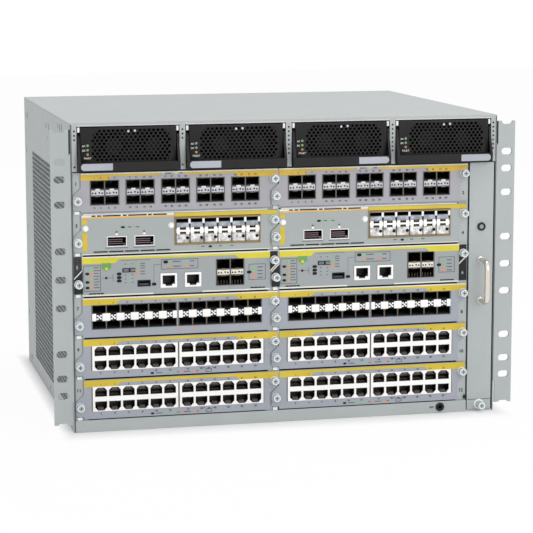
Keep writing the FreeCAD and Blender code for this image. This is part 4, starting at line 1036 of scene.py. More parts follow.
@dataclass
class ControlFace(CardFace):
    """The control cards: lamps, a display, a memory-stick socket, two jacks and four tall cages."""

    base: float = 6.0
    jack_lefts: Span = (79.1, 103.9)
    cage_left: float = 136.2
    lamp_first: float = 8.0
    lamp_pitch: float = 2.85

    @staticmethod
    def outline(across: Span, up: Span, wall: float = 0.45) -> Mesh:
        """Models a thin printed outline."""
        inside = Bench.slab((across[0] + wall, across[1] - wall), (up[0] + wall, up[1] - wall), 1.0, 1.0)
        return Bench.cut(Bench.slab(across, up, 0.15), inside)

    def surround(self, left: float) -> Mesh:
        """Models the white shell round a single jack, with a keyed mouth and cut corners.

        Args:
            left: The jack's left edge.

        Returns:
            The shell.
        """
        spot = Spot(left, self.base)
        openings = (((2.0, 14.8), (5.2, 12.6)), ((5.0, 11.8), (1.6, 5.6)), ((1.9, 5.3), (3.6, 5.6)),
                    ((11.5, 14.9), (3.6, 5.6)))
        return Bench.cut(spot.block((-0.1, 16.9), (-1.0, -0.2), (-0.1, 14.7), 0.3),
                         *(spot.block(across, (-2, 2), up) for across, up in openings))

    def light_box(self) -> list[Trim]:
        """Models the left lamp panel, the tab, the selector ovals and the display.

        Returns:
            The trims.
        """
        rows = [self.lamp_first + self.lamp_pitch * index for index in range(8)]
        lit = [(8.4, z) for z in rows]
        green = [lit[index] for index in (1, 3, 6, 7)]
        amber = [lit[index] for index in (0, 2, 4, 5)]
        bars = [((12.0, 17.6 - index % 2), (z + 0.4, z + 1.1)) for index, z in enumerate(rows)]
        wires = (((19.9, 23.0), (17.8, 18.1)), ((25.6, 31.0), (17.8, 18.1)), ((31.0, 31.3), (14.4, 21.8)),
                 ((39.6, 69.0), (35.0, 35.3)))
        ovals = [Bench.pill((3.4, 7.4), (z - 1.3, z + 1.3)) for z in (8.6, 14.3, 22.8)]
        ovals += [Bench.pill((35.0, 39.8), (z - 1.5, z + 1.5)) for z in (14.6, 18.0, 21.6)]
        ovals.append(Bench.rod((24.3, -0.3, 18.0), 1.25, 0.4, "y", 16))
        tab = Bench.slice(Bench.slab((19.9, 29.4), (24.4, 33.0), 0.25), (24.6, 0, 24.4), (0.8, 0, -1), (-0.8, 0, -1))
        digits = [self.outline((x, x + 1.9), (24.0, 26.3), 0.4) for x in (42.0, 44.6, 49.0, 51.4)]
        specks = [((x, x + 1.6), (z, z + 0.7)) for z in (12.4, 16.0, 20.0, 31.0) for x in (43.0, 50.0)]
        specks += [((59.0, 63.5), (z, z + 0.7)) for z in (20.6, 23.2, 26.4, 28.8, 31.2)]
        return trims_of(
            left_legends=(Bench.join(ovals), INK), tab=(tab, TAB_GREEN),
            round_lamp=(Bench.rod((24.6, -0.7, 27.2), 1.7, 0.6, "y", 16, 0.2), LEMON),
            display=(Bench.block((40.7, -0.7, 23.0), (53.7, 0.05, 27.2), 0.25), INK),
            display_digits=(Bench.move(Bench.join(digits), (0, -0.6, 0)), LABEL),
            specks=(self.marks(specks, 0.15), GRAPHITE),
            panel_bars=(Bench.join([self.marks(bars, 0.15), self.marks(wires, 0.12)]), GRAPHITE),
            left_green=(self.dashes([(55.0, 26.0), (55.0, 28.4)] + green, 2.0, 1.5, 0.3), GREEN),
            left_amber=(self.dashes([(55.0, 20.2), (55.0, 22.8)] + amber, 2.0, 1.5, 0.3), AMBER))

    def right_boxes(self) -> list[Trim]:
        """Models the two outlined lamp panels at the right.

        Returns:
            The trims.
        """
        lines = [self.outline((1.6, 18.8), (5.0, 31.0)), self.outline((80.0, 117.7), (24.6, 34.6)),
                 self.outline((170.0, 187.4), (10.6, 26.8)), Bench.slab((72.6, 80.1), (29.6, 29.9), 0.12),
                 Bench.slab((72.4, 72.7), (10.0, 29.9), 0.12)]
        ovals = [Bench.pill((x - 2.4, x + 2.4), (z - 1.5, z + 1.5)) for x, z in
                 ((72.6, 10.0), (84.6, 32.0), (170.4, 18.6))]
        green, amber = (Bench.join([self.dashes(((87.6, upper), (104.6, upper)), 2.8, 1.7),
                                    self.dashes(((174.4, high), (174.4, low)), 2.4, 1.6)])
                        for upper, high, low in ((31.2, 22.6, 18.9), (26.4, 15.4, 11.9)))
        bars = [self.dashes([(x, z) for z in heights], wide, 0.8, 0.15) for x, wide, heights in
                ((92.0, 8.0, (27.0, 31.8)), (109.4, 4.2, (27.0, 31.8)), (179.0, 5.4, (12.4, 15.9, 19.4, 23.0)))]
        return trims_of(outlines=(Bench.join(lines), GRAPHITE), right_legends=(Bench.join(ovals), INK),
                        right_green=(green, GREEN), right_amber=(amber, AMBER),
                        legend_bars=(Bench.join(bars), GRAPHITE))

    def lugs(self) -> list[Trim]:
        """Models the black lugs and the pale edges along their slants, bare sheet edges made pale as a painted
        highlight.

        Returns:
            The trims.
        """
        left = Bench.slice(Bench.slab((-7.9, 0.9), (2.7, 25.8), 0.15), (-7.9, 0, 17.3), (-7.6, 0, 8.0))
        right = Bench.slab((self.width - 8.0, self.width - 0.2), (18.6, self.height - 0.6), 0.32)
        Bench.slice(right, (self.width - 8.0, 0, 18.6), (7.5, 0, -8.2))
        edges = []
        for x, z, fall in ((-8.0, 17.2, 7.6), (self.width - 8.1, 18.5, 7.2)):
            edge = Bench.slice(Bench.slab((x, x + 8.1), (z - 0.4, z + 9.0), 0.5), (x, 0, z), (fall, 0, -8.0))
            edges.append(Bench.slice(edge, (x, 0, z + 1.3), (-fall, 0, 8.0)))
        return trims_of(lugs=(Bench.join([left, right]), LUG), lug_edges=(Bench.join(edges), CREAM))

    def trims(self) -> list[Trim]:
        """Models the face's pieces.

        Returns:
            The trims.
        """
        spot = Spot(self.cage_left, self.base)
        plate, dark, upper, lower = self.latches(Spot(self.cage_left, self.base + 9.9), 2)
        walls = Bench.join([self.separators(self.cage_left, low, 2, 9.9) for low in (self.base, self.base + 17.0)])
        fins = Bench.row(spot.block((2.2, 2.5), (1.0, 8.0), (1.0, 5.0)), 4, (3.0, 0, 0))
        stick = Bench.cut(Bench.block((55.9, -0.6, self.base + 2.1), (69.1, 0.05, self.base + 8.5), 0.2),
                          Bench.block((57.0, -2, self.base + 3.2), (68.0, 2, self.base + 7.4)))
        tongue = Bench.block((57.6, 0.6, self.base + 3.4), (67.4, 10.0, self.base + 5.0))
        # Near-black marks paint the shade inside the air slots.
        holes = [(start + 3.8 * index, 2.0) for start in (6.9, 171.8) for index in range(4)]
        foot = self.marks((((0.4, 72.0), (0.05, 1.5)), ((122.0, 191.6), (0.05, 1.5))), 0.2)
        return (self.band(LEMON) + self.screws() + self.light_box() + self.right_boxes() + self.lugs() + self.gasket()
                + trims_of(2, self.cage_pitch, cage_fins=(fins, WALL_EDGE))
                + trims_of(air_slots=(self.dashes(holes, 3.4, 1.1, 0.3), HOLLOW_SHADE), foot_line=(foot, CREAM),
                           jack_shells=(Bench.join([self.surround(x) for x in self.jack_lefts]), WHITE),
                           latches=(plate, CREAM), latch_slots=(dark, HOLLOW_SHADE),
                           latch_tabs=(Bench.join([upper, lower]), BROWN), walls=(walls, WALL_EDGE),
                           stick_rim=(stick, INK), stick_tongue=(tongue, GRAPHITE)))


@dataclass
class FibreFace(CardFace):
    """The fourth row: twenty-four cages in two groups, with bright latch blocks."""

    base: float = 8.0
    lefts: Span = (9.3, 97.2)
    columns: int = 6
    block_width: float = 8.3
    block_end: float = 86.2

    def trims(self) -> list[Trim]:
        """Models the face's pieces.

        Returns:
            The trims.
        """
        left = self.lefts[0]
        spot = Spot(left, self.base + self.strip_rise)
        half = self.block_width / 2
        wall = self.cage_pitch + 0.25
        latch = spot.block((wall - half, wall + half), (-1.1, -0.3), (-0.2, 7.4), 0.9, 2)
        ends = [spot.block(across, (-1.1, -0.3), (-0.2, 7.4), 0.7, 2)
                for across in ((0.1, half + 0.25), (self.block_end - 0.15 - half, self.block_end))]
        notches = Bench.join([spot.block((wall - 1.6, wall + 1.6), (-0.8, -0.3), (z, z + 1.1)) for z in (-1.2, 7.3)])
        cross = [spot.block((x - 1.0, x + 1.0), (-0.8, -0.3), (z - 0.85, z + 0.85), 0.15)
                 for x, z in ((5.9, 5.0), (7.4, 3.6), (8.9, 2.2), (5.7, 1.8), (9.1, 5.2))]
        step = (self.cage_pitch, 0, 0)
        walls, insides = self.cages(left, self.base, self.columns)
        digits = [digit for first, block in zip((1, 13), self.lefts)
                  for digit in self.numbers(first, 2, self.columns, block + 7.4, self.cage_pitch, 34.6)]
        return self.band(YELLOW) + self.screws() + self.gasket() + trims_of(
            2, self.lefts[1] - left, walls=(walls, WALL_EDGE), cage_floors=(insides, SHADED_STEEL),
            latches=(Bench.join([Bench.row(latch, self.columns - 1, step)] + ends), WHITE),
            latch_crosses=(Bench.row(Bench.join(cross), self.columns, step), WHITE),
            # A near-black bed behind the latch blocks paints the shade between them.
            latch_beds=(spot.block((0.5, self.block_end - 0.4), (-0.5, -0.25), (-0.1, 7.3)), HOLLOW_SHADE),
            notches=(Bench.row(notches, self.columns - 1, step), BROWN)) + trims_of(
            green_marks=(self.dashes(((73.0, 3.9), (85.6, 3.9)), 2.4, 1.4), GREEN),
            amber_marks=(self.dashes(((97.0, 3.9), (110.6, 3.9)), 2.4, 1.4), AMBER),
            numbers=(Bench.join(digits), INK))


@dataclass
class CopperFace(CardFace):
    """The two lowest rows: twenty-four jacks in two groups."""

    base: float = 7.6
    lefts: Span = (9.0, 97.72)
    columns: int = 6
    jack_pitch: float = 14.08
    first: float = 8.41
    block_width: float = 87.22
    block_height: float = 25.3

    def mouth(self, centre: float, low: float, key_down: bool) -> Mesh:
        """Models the tool that opens one jack's mouth, with slanted shoulders down to its key.

        Args:
            centre: The jack's middle across.
            low: The lower edge of the mouth.
            key_down: Whether the key is at the bottom.

        Returns:
            The tool.
        """
        tool = Bench.block((centre - 6.05, -3, low), (centre + 6.05, 3, low + 9.4))
        tip = low if key_down else low + 9.4
        rise = 2.95 * (-1 if key_down else 1)
        Bench.slice(tool, (centre + 3.1, 0, tip), (3.2, 0, rise))
        return Bench.slice(tool, (centre - 3.1, 0, tip), (-3.2, 0, rise))

    def inside(self, centre: float, low: float, key_down: bool) -> list[Mesh]:
        """Models the sloping ledge in one jack's key and the contacts opposite it.

        Args:
            centre: The jack's middle across.
            low: The lower edge of its mouth.
            key_down: Whether its key is at the bottom.

        Returns:
            The ledge, the contacts' bed and the contacts.
        """
        key, bed_low, wire_low, cut, slant = ((low, low + 7.8, -0.25, 0.6, 1.2) if key_down
                                              else (low + 6.4, low + 0.1, 1.45, 1.4, -0.5))
        ledge = Bench.block((centre - 3.0, 0.6, key + 0.1), (centre + 3.0, 13.0, key + 2.9))
        Bench.slice(ledge, (centre, 0.7, key + cut), (0, -1.0, slant))
        if not key_down:
            ledge = Bench.join([ledge, Bench.block((centre - 5.4, 1.2, low + 5.6), (centre + 5.4, 2.0, low + 6.0))])
        bed = Bench.block((centre - 5.4, 3.0, bed_low), (centre + 5.4, 13.0, bed_low + 1.5), 0.2)
        wire = Bench.block((centre - 3.75, 3.4, bed_low + wire_low), (centre - 3.4, 12.0, bed_low + wire_low + 0.35))
        return [ledge, bed, Bench.row(wire, 8, (1.02, 0, 0))]

    def legend(self) -> list[Trim]:
        """Models the lamp marks, the little jack sign and the words' lines under the jacks.

        Returns:
            The trims.
        """
        lines = (((73.6, 80.0), (2.2, 2.9)), ((95.2, 97.6), (2.2, 2.9)), ((102.2, 109.0), (2.2, 2.9)),
                 ((115.2, 117.6), (2.2, 2.9)), ((119.0, 124.4), (5.3, 5.7)), ((131.6, 134.0), (5.3, 5.7)))
        icon = Bench.cut(Bench.slab((124.9, 131.1), (1.2, 4.6)), Bench.slab((125.4, 130.6), (1.7, 4.1), 1.0, 1.0))
        return trims_of(
            legend=(Bench.pill((68.0, 71.6), (1.6, 3.5)), INK), ticks=(self.marks(lines, 0.15), GRAPHITE),
            green_marks=(self.dashes(((83.0, 1.9), (92.0, 1.9)), 2.4, 1.4), GREEN),
            amber_marks=(self.dashes(((99.0, 1.9), (112.0, 1.9)), 2.4, 1.4), AMBER),
            icon=(Bench.join([icon, Bench.slab((126.8, 129.2), (4.5, 5.7))]), GRAPHITE))

    def trims(self) -> list[Trim]:
        """Models the face's pieces.

        Returns:
            The trims.
        """
        left, wide, tall = self.lefts[0], self.block_width, self.block_height
        spot = Spot(left, self.base)
        shell = spot.block((-0.05, wide + 0.05), (-0.9, -0.25), (-0.05, tall + 0.05), 0.25)
        step = (self.jack_pitch, 0, 0)
        sets = []
        for low, down in ((self.base + 0.8, True), (self.base + 15.1, False)):
            Bench.cut(shell, Bench.row(self.mouth(left + self.first, low, down), self.columns, step))
            sets.append(self.inside(left + self.first, low, down))
        ledges, beds, wires = [Bench.row(Bench.join(group), self.columns, step) for group in zip(*sets)]
        sides = [spot.block(across, (-0.3, 0.1), (0.0, tall)) for across in ((-0.9, -0.3), (wide + 0.3, wide + 0.9))]
        digits = [digit for first, block in zip((1, 13), self.lefts) for row, z in enumerate((34.7, 5.2))
                  for digit in self.numbers(first + row, 2, self.columns, block + self.first, self.jack_pitch, z)]
        return self.band(YELLOW, False) + self.screws() + self.gasket() + self.legend() + trims_of(
            2, self.lefts[1] - left, jack_shells=(shell, SHELL_WHITE), jack_ledges=(ledges, LEDGE),
            middle_strips=(spot.block((0.8, wide - 0.8), (-1.1, -0.8), (10.7, 14.6)), WHITE),
            contact_beds=(beds, INK), contacts=(wires, BRASS), side_lines=(Bench.join(sides), WALL_EDGE)) + trims_of(
            numbers=(Bench.join(digits), INK))


@dataclass
class BoardFinish:
    """The finish of a card's board: green sheet, near-black painted shade inside the sockets, and plated or white rims.
    """

    name: str
    low: float
    block_top: float
    rim: Finish
    thickness: float = 1.6
    rim_depth: float = 0.15
    lid_depth: float = 0.5
    face_depth: float = 3.9
    speckle: float = 600.0

    def material(self) -> bpy.types.Material:
        """Makes the material for the cards of one row.

        Returns:
            The material.
        """
        made = bpy.data.materials.new(self.name)
        made.use_nodes = True
        graph = Graph(made.node_tree)
        place = graph.place()
        axes = graph.axes(place)
        speck = graph.node("TexNoise", {"Vector": place, "Scale": self.speckle}).outputs["Fac"]

        def side(axis: str, level: float, above: bool = True) -> Socket:
            """Returns 1 where a coordinate is above or below a level in millimetres."""
            return graph.math("GREATER_THAN" if above else "LESS_THAN", axes[axis], level * MM)

        top = self.low + self.thickness
        sheet = graph.math("MULTIPLY", side("Z", self.low - 0.05), side("Z", top + 0.05, False))
        # The near-black base paints the shade inside the sockets behind their rims.
        colour = graph.ramp(speck, HOLLOW_SHADE)
        for mask, finish in ((graph.math("MULTIPLY", side("Z", top + self.block_top),
                                         side("Y", FRONT + self.lid_depth)), STEEL),
                             (graph.math("MULTIPLY", sheet, side("Y", FRONT + self.face_depth)), PCB),
                             (side("Y", FRONT + self.rim_depth, False), self.rim)):
            colour = graph.mix(mask, colour, graph.ramp(speck, finish))
        shader = made.node_tree.nodes["Principled BSDF"]
        graph.feed(shader.inputs["Base Color"], colour)
        graph.feed(shader.inputs["Roughness"], graph.ranged(speck, 0.35, 0.55))
        return made


@dataclass(frozen=True)
class Row:
    """One row of cards: its kind, its face's finish, and where its ports start and end."""

    kind: Kind
    face: Finish
    port_base: float
    block_top: float
    rim: Finish = CAGE_RIM


@dataclass
class Cards:
    """The twelve cards: their bases, boards and dressed faces."""

    rows: tuple[Row, ...] = (
        Row(Kind.ACCESS, FACE_LILAC, 8.0, 24.4), Row(Kind.MODULE, FACE_CASE, 8.0, 26.8),
        Row(Kind.CONTROL, FACE_COOL, 6.0, 26.8), Row(Kind.FIBRE, FACE_BLUE, 8.0, 24.4),
        Row(Kind.COPPER, FACE_BLUE, 7.6, 25.1, SHELL_WHITE), Row(Kind.COPPER, FACE_BLUE, 7.6, 25.1, SHELL_WHITE))
    makers: dict[Kind, type[CardFace]] = field(default_factory=lambda: {
        Kind.ACCESS: AccessFace, Kind.MODULE: ModuleFace, Kind.CONTROL: ControlFace, Kind.FIBRE: FibreFace,
        Kind.COPPER: CopperFace})

    def build(self) -> None:
        """Dresses all twelve cards."""
        patterns = {kind: maker().trims() for kind, maker in self.makers.items()}
        for index, row in enumerate(self.rows):
            low = row_low(index)
            board = BoardFinish(f"board_row_{index + 1}", low + row.port_base - 1.6, row.block_top, row.rim).material()
            for column in range(2):
                name = f"card_{index * 2 + column + 1:02d}"
                coat(row.face.material(), f"{name}_faceplate")
                coat(board, f"{name}_board")
                for trim in patterns[row.kind]:
                    piece = Bench.copy(trim.piece, (CARD_LEFT + COLUMN_PITCH * column, FRONT, low))
                    Bench.finish(piece, f"{name}_{trim.suffix}", name, trim.finish)
                LOG.info("%s: %s face, %d pieces", name, row.kind.name.lower(), len(patterns[row.kind]))
        for trims in patterns.values():
            for trim in trims:
                bpy.data.objects.remove(trim.piece)


@dataclass
class WallFinish:
    """The finish of a perforated wall: painted outside, with a darker grey painted shade on the edges of its holes."""

    outside: Finish = CASE
    edge: Finish = Finish("hole_edge_shade", (92, 97, 97), "case_grey")
    depth: float = 221.36

    def material(self) -> bpy.types.Material:
        """Makes the material on first use.

        Returns:
            The material.
        """
        made = bpy.data.materials.get("wall_paint")
        if made:
            return made
        made = self.outside.material().copy()
        made.name = "wall_paint"
        graph = Graph(made.node_tree)
        base = graph.tree.nodes["Principled BSDF"].inputs["Base Color"]
        across = graph.axes(graph.tree.nodes["Texture Coordinate"].outputs["Object"])["X"]
        # Inside the outer face the holes' edges take the darker grey, painted shade.
        inner = graph.math("LESS_THAN", graph.math("ABSOLUTE", across), self.depth * MM)
        graph.feed(base, graph.mix(inner, base.links[0].from_socket, self.edge.linear()))
        return made


@dataclass
class PerforatedWall:
    """A side wall with a close field of round holes."""

    name: str
    outer: float
    inner: float
    low: float = 0.0
    high: float = 309.5
    front: float = FRONT
    back: float = 203.5
    field_front: float = 38.0
    field_low: float = 15.0
    pitch: float = 6.0
    radius: float = 2.3
    columns: int = 46
    rows: int = 46
    sheet: float = 1.3
    slots: tuple[Point, ...] = ((60, 298, 8), (74, 297, 7), (88, 299, 5), (165, 291, 6), (185, 291, 6), (352, 288, 7),
                                (368, 288, 7), (110, 277, 2), (175, 281, 2), (350, 7, 6), (366, 5, 6))
    screws: tuple[Span, ...] = ((62, 7), (190, 7), (372, 60), (372, 160), (372, 250))

    @property
    def rise(self) -> float:
        """Returns the height from one row of holes to the next."""
        return self.pitch * math.sqrt(3) / 2

    def mesh_field(self) -> Mesh:
        """Models the whole field of six-sided cells as one sheet with the wall's thickness.

        Returns:
            The sheet, in its place.
        """
        Bench.clear()
        corner = self.pitch / math.sqrt(3)
        facing = (0, math.pi / 2, 0)
        bpy.ops.mesh.primitive_circle_add(vertices=6, radius=corner * MM, fill_type="NOTHING", rotation=facing)
        first = Bench.ring(Bench.settle(bpy.context.object), 8, self.radius, facing)
        piece = Bench.join([first, Bench.copy(first, (0, self.pitch / 2, self.rise))])
        Bench.row(piece, self.columns, (0, self.pitch, 0), True)
        Bench.row(piece, self.rows // 2, (0, 0, self.rise * 2), True)
        Bench.thicken(piece, (self.sheet, 0, 0))
        return Bench.move(piece, (min(self.outer, self.inner) + 0.1, self.front + self.field_front + self.pitch / 2,
                                  self.field_low + corner))

    def build(self) -> None:
        """Models the wall and lets it stand for the plain one."""
        low_x, high_x = sorted((self.outer, self.inner))
        start = self.front + self.field_front
        low_z = self.field_low + self.rise / 2
        panel = Bench.block((low_x, self.front, self.low), (high_x, self.back, self.high), 0.25)
        Bench.cut(panel, Bench.block((low_x - 3, start + self.pitch / 2, low_z),
                                     (high_x + 3, start + self.pitch * self.columns,
                                      low_z + self.rise * (self.rows - 0.3))))
        wall = Bench.finish(Bench.join([panel, self.mesh_field()]), f"{self.name}_perforated", "chassis", CASE)
        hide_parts(self.name)
        cover(wall, WallFinish().material())
        self.small_parts()
        LOG.info("%s: %d holes", self.name, self.rows * self.columns)

    def small_parts(self) -> None:
        """Models black blocks that paint the shade of the wall's slots near its top, and the screws along its foot and
        back.
        """
        side = -1 if self.outer < 0 else 1
        low_x, high_x = sorted((self.outer + 0.12 * side, self.outer - 0.2 * side))
        slots = [Bench.block((low_x, self.front + y - 1.0, z), (high_x, self.front + y + 1.0, z + tall))
                 for y, z, tall in self.slots]
        Bench.finish(Bench.join(slots), f"{self.name}_slots", "chassis", INK)
        start = min(self.outer, self.outer + 0.8 * side)
        screws = [Bench.rod((start, self.front + y, z), 2.6, 0.8, "x", 16, 0.25) for y, z in self.screws]
        Bench.finish(Bench.join(screws), f"{self.name}_screws", "chassis", SCREW_GREY)


@dataclass
class SupplyDress:
    """A power supply's nose with its grille, its metal body, clips, lamps and the handle's plate."""

    base: float = 263.3
    nose_half: float = 48.1
    half: float = 50.7
    height: float = 43.4
    depth: float = 300.0
    wall: float = 1.5
    hole_across: float = 4.5
    hole_up: float = 3.17
    hole: float = 1.53
    grille_left: float = -37.9
    grille_low: float = 9.6
    columns: int = 18
    rows: int = 10
    lamp_x: float = -40.9
    lamps: Point = (16.6, 21.0, 25.4)
    plate_ends: Span = (17.0, 48.6)
    facing: Point = (math.pi / 2, 0, 0)

    def tile(self, width: float, x: float = 0.0, z: float = 0.0) -> Mesh:
        """Models one flat rectangle that faces along -Y.

        Args:
            width: Its width.
            x: Its middle across.
            z: Its middle up.

        Returns:
            The rectangle.
        """
        Bench.clear()
        bpy.ops.mesh.primitive_plane_add(size=1.0, rotation=self.facing, location=(x * MM, 0, z * MM))
        bpy.context.object.scale = (width * MM, self.hole_up * MM, 1)
        return Bench.settle(bpy.context.object)

    def grille(self) -> Mesh:
        """Models the staggered grille as one sheet of the nose's thickness.

        Returns:
            The grille, in its place.
        """
        wide, tall = self.hole_across, self.hole_up
        first = self.tile(wide)
        with Bench.editing(first):
            bpy.ops.mesh.delete(type="ONLY_FACE")
            bpy.ops.mesh.select_all(action="SELECT")
            bpy.ops.mesh.subdivide(number_cuts=1)
        Bench.ring(first, 8, self.hole, self.facing)
        second = Bench.row(Bench.copy(first, (wide / 2, 0, tall)), self.columns - 1, (wide, 0, 0), True)
        Bench.row(first, self.columns, (wide, 0, 0), True)
        fills = [self.tile(wide / 2, x, tall) for x in (-wide / 4, wide * (self.columns - 0.75))]
        piece = Bench.row(Bench.join([first, second] + fills), self.rows // 2, (0, 0, tall * 2), True)
        Bench.thicken(piece, (0, 1.2, 0))
        return Bench.move(piece, (self.grille_left + wide / 2, -1.4, self.grille_low + tall / 2))

    def shell(self, half: float, depth: Span, open_end: Span, edge: float, steps: int = 1) -> Mesh:
        """Models a box that is hollow from its front.

        Args:
            half: Half of its width.
            depth: Its front and back.
            open_end: The front and back of its hollow.
            edge: Width of the bevel on its edges.
            steps: Facets of the bevel.

        Returns:
            The box.
        """
        box = Bench.block((-half, depth[0], 0.0), (half, depth[1], self.height), edge, steps)
        return Bench.cut(box, Bench.block((-half + self.wall, open_end[0], self.wall),
                                          (half - self.wall, open_end[1], self.height - self.wall)))

    def nose(self) -> Mesh:
        """Models the black nose: an open shell with a window for the grille.

        Returns:
            The nose with its grille.
        """
        shell = self.shell(self.nose_half, (-1.5, 10.0), (0.3, 12.0), 0.8, 2)
        low_x, low_z = self.grille_left + 0.3, self.grille_low + 0.3
        high_x = self.grille_left + self.hole_across * self.columns - 0.3
        high_z = self.grille_low + self.hole_up * self.rows - 0.3
        Bench.cut(shell, Bench.block((low_x, -5, low_z), (high_x, 5, high_z)))
        corners = []
        for x, side in ((low_x, 1), (high_x, -1)):
            for z, up, size in ((low_z, 1, 4.0), (high_z, -1, 7.0)):
                (x0, x1), (z0, z1) = sorted((x, x + size * side)), sorted((z, z + size * up))
                corners.append(Bench.slice(Bench.block((x0, -1.55, z0), (x1, -1.38, z1)), (x + size * side, 0, z),
                                           (side, 0, up)))
        return Bench.join([shell, self.grille()] + corners)

    def liner(self) -> Mesh:
        """Models a black lining in the hollow that holds the two fans, a dark sheet that paints the shade seen through
        the grille.

        Returns:
            The lining.
        """
        box, hollow = (Bench.block((-self.half + gap, front, gap), (self.half - gap, back, self.height - gap))
                       for gap, front, back in ((1.55, 10.05, 45.95), (2.0, 8, 45.4)))
        return Bench.cut(box, hollow)

    def plate(self, side: int) -> Mesh:
        """Models the pale end plate of the handle's bar, round at its outer end.

        Args:
            side: -1 for the left plate, 1 for the right one.

        Returns:
            The plate.
        """
        low, high = sorted(end * side for end in self.plate_ends)
        end = self.plate_ends[1] * side * MM
        return Bench.bevel(Bench.block((low, -8.4, 1.3), (high, -7.9, 8.1)), 3.2, 5,
                           lambda a, b: abs((a - b).normalized()[1]) > 0.9 and abs(a.x - end) < 0.0001)

    def pieces(self) -> dict[str, tuple[Mesh, Finish]]:
        """Models one supply's pieces.

        Returns:
            Each piece and its finish, by the piece's suffix.
        """
        plug = Bench.block((-25.0, self.depth - 1, 1.5), (25.0, 319.6, 15.5), 0.3)
        clips = [Bench.block((x, 0.0, self.height - 5.0), (x + 2.6, 10.0, self.height), 0.4)
                 for x in (-self.nose_half - 2.6, self.nose_half)]
        bulbs, bezels = ([Bench.rod((self.lamp_x, y, z), radius, length, "y", sides, edge) for z in self.lamps]
                         for y, radius, length, sides, edge in ((-1.85, 1.3, 0.5, 16, 0.2), (-1.62, 1.7, 0.3, 20, 0.0)))
        words = [Bench.number(word, (x, z), size, 0.12) for word, x, z, size in
                 (("AC", -44.7, 25.1, 2.3), ("DC", -44.7, 20.7, 2.3), ("FAULT", self.lamp_x, 13.0, 2.5))]
        studs = [Bench.rod((x, -1.95, z), 1.25, 0.6, "y", 12, 0.2) for x, z in ((-0.2, 39.0), (6.4, 39.4))]
        return {"nose": (self.nose(), NOSE),
                "body": (Bench.join([self.shell(self.half, (10.0, self.depth), (8.0, 46.0), 0.5), plug]), STEEL),
                "clips": (Bench.join(clips), CLIP),
                "fan_seats": (Bench.join([Bench.rod((x, 36.3, 21.7), 5.0, 9.7) for x in (-10.6, 30.4)]), ROTOR),
                "lamp_seats": (Bench.join(bezels), INK), "green_lamps": (Bench.join(bulbs[1:]), DULL_GREEN),
                "amber_lamp": (bulbs[0], DULL_AMBER),
                "lamp_words": (Bench.move(Bench.join(words), (0, -1.4, 0)), PALE),
                # The black lining paints the shade behind the grille.
                "nose_screws": (Bench.join(studs), SCREW_GREY), "liner": (self.liner(), INK)}

    def build(self) -> None:
        """Dresses the four supplies."""
        pieces = self.pieces()
        plates = (self.plate(-1), self.plate(1))
        for index in range(4):
            name = f"supply_{index + 1}"
            shift = (SUPPLY_PITCH * (index - 1.5), FRONT, self.base)
            for suffix, (piece, finish) in pieces.items():
                made = Bench.finish(Bench.copy(piece, shift), f"{name}_{suffix}", name, finish)
                if suffix == "nose":
                    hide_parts(f"{name}_case")
            Bench.finish(Bench.copy(plates[index // 2], shift), f"{name}_plate", f"{name}_handle", LABEL)
            coat(ARM.material(), f"{name}_handle")
            coat(ROTOR.material(), f"{name}_fan_a", f"{name}_fan_b")
            LOG.info("%s: nose, body, clips, lamps and plate", name)
        for piece in [*plates, *(piece for piece, _ in pieces.values())]:
            bpy.data.objects.remove(piece)


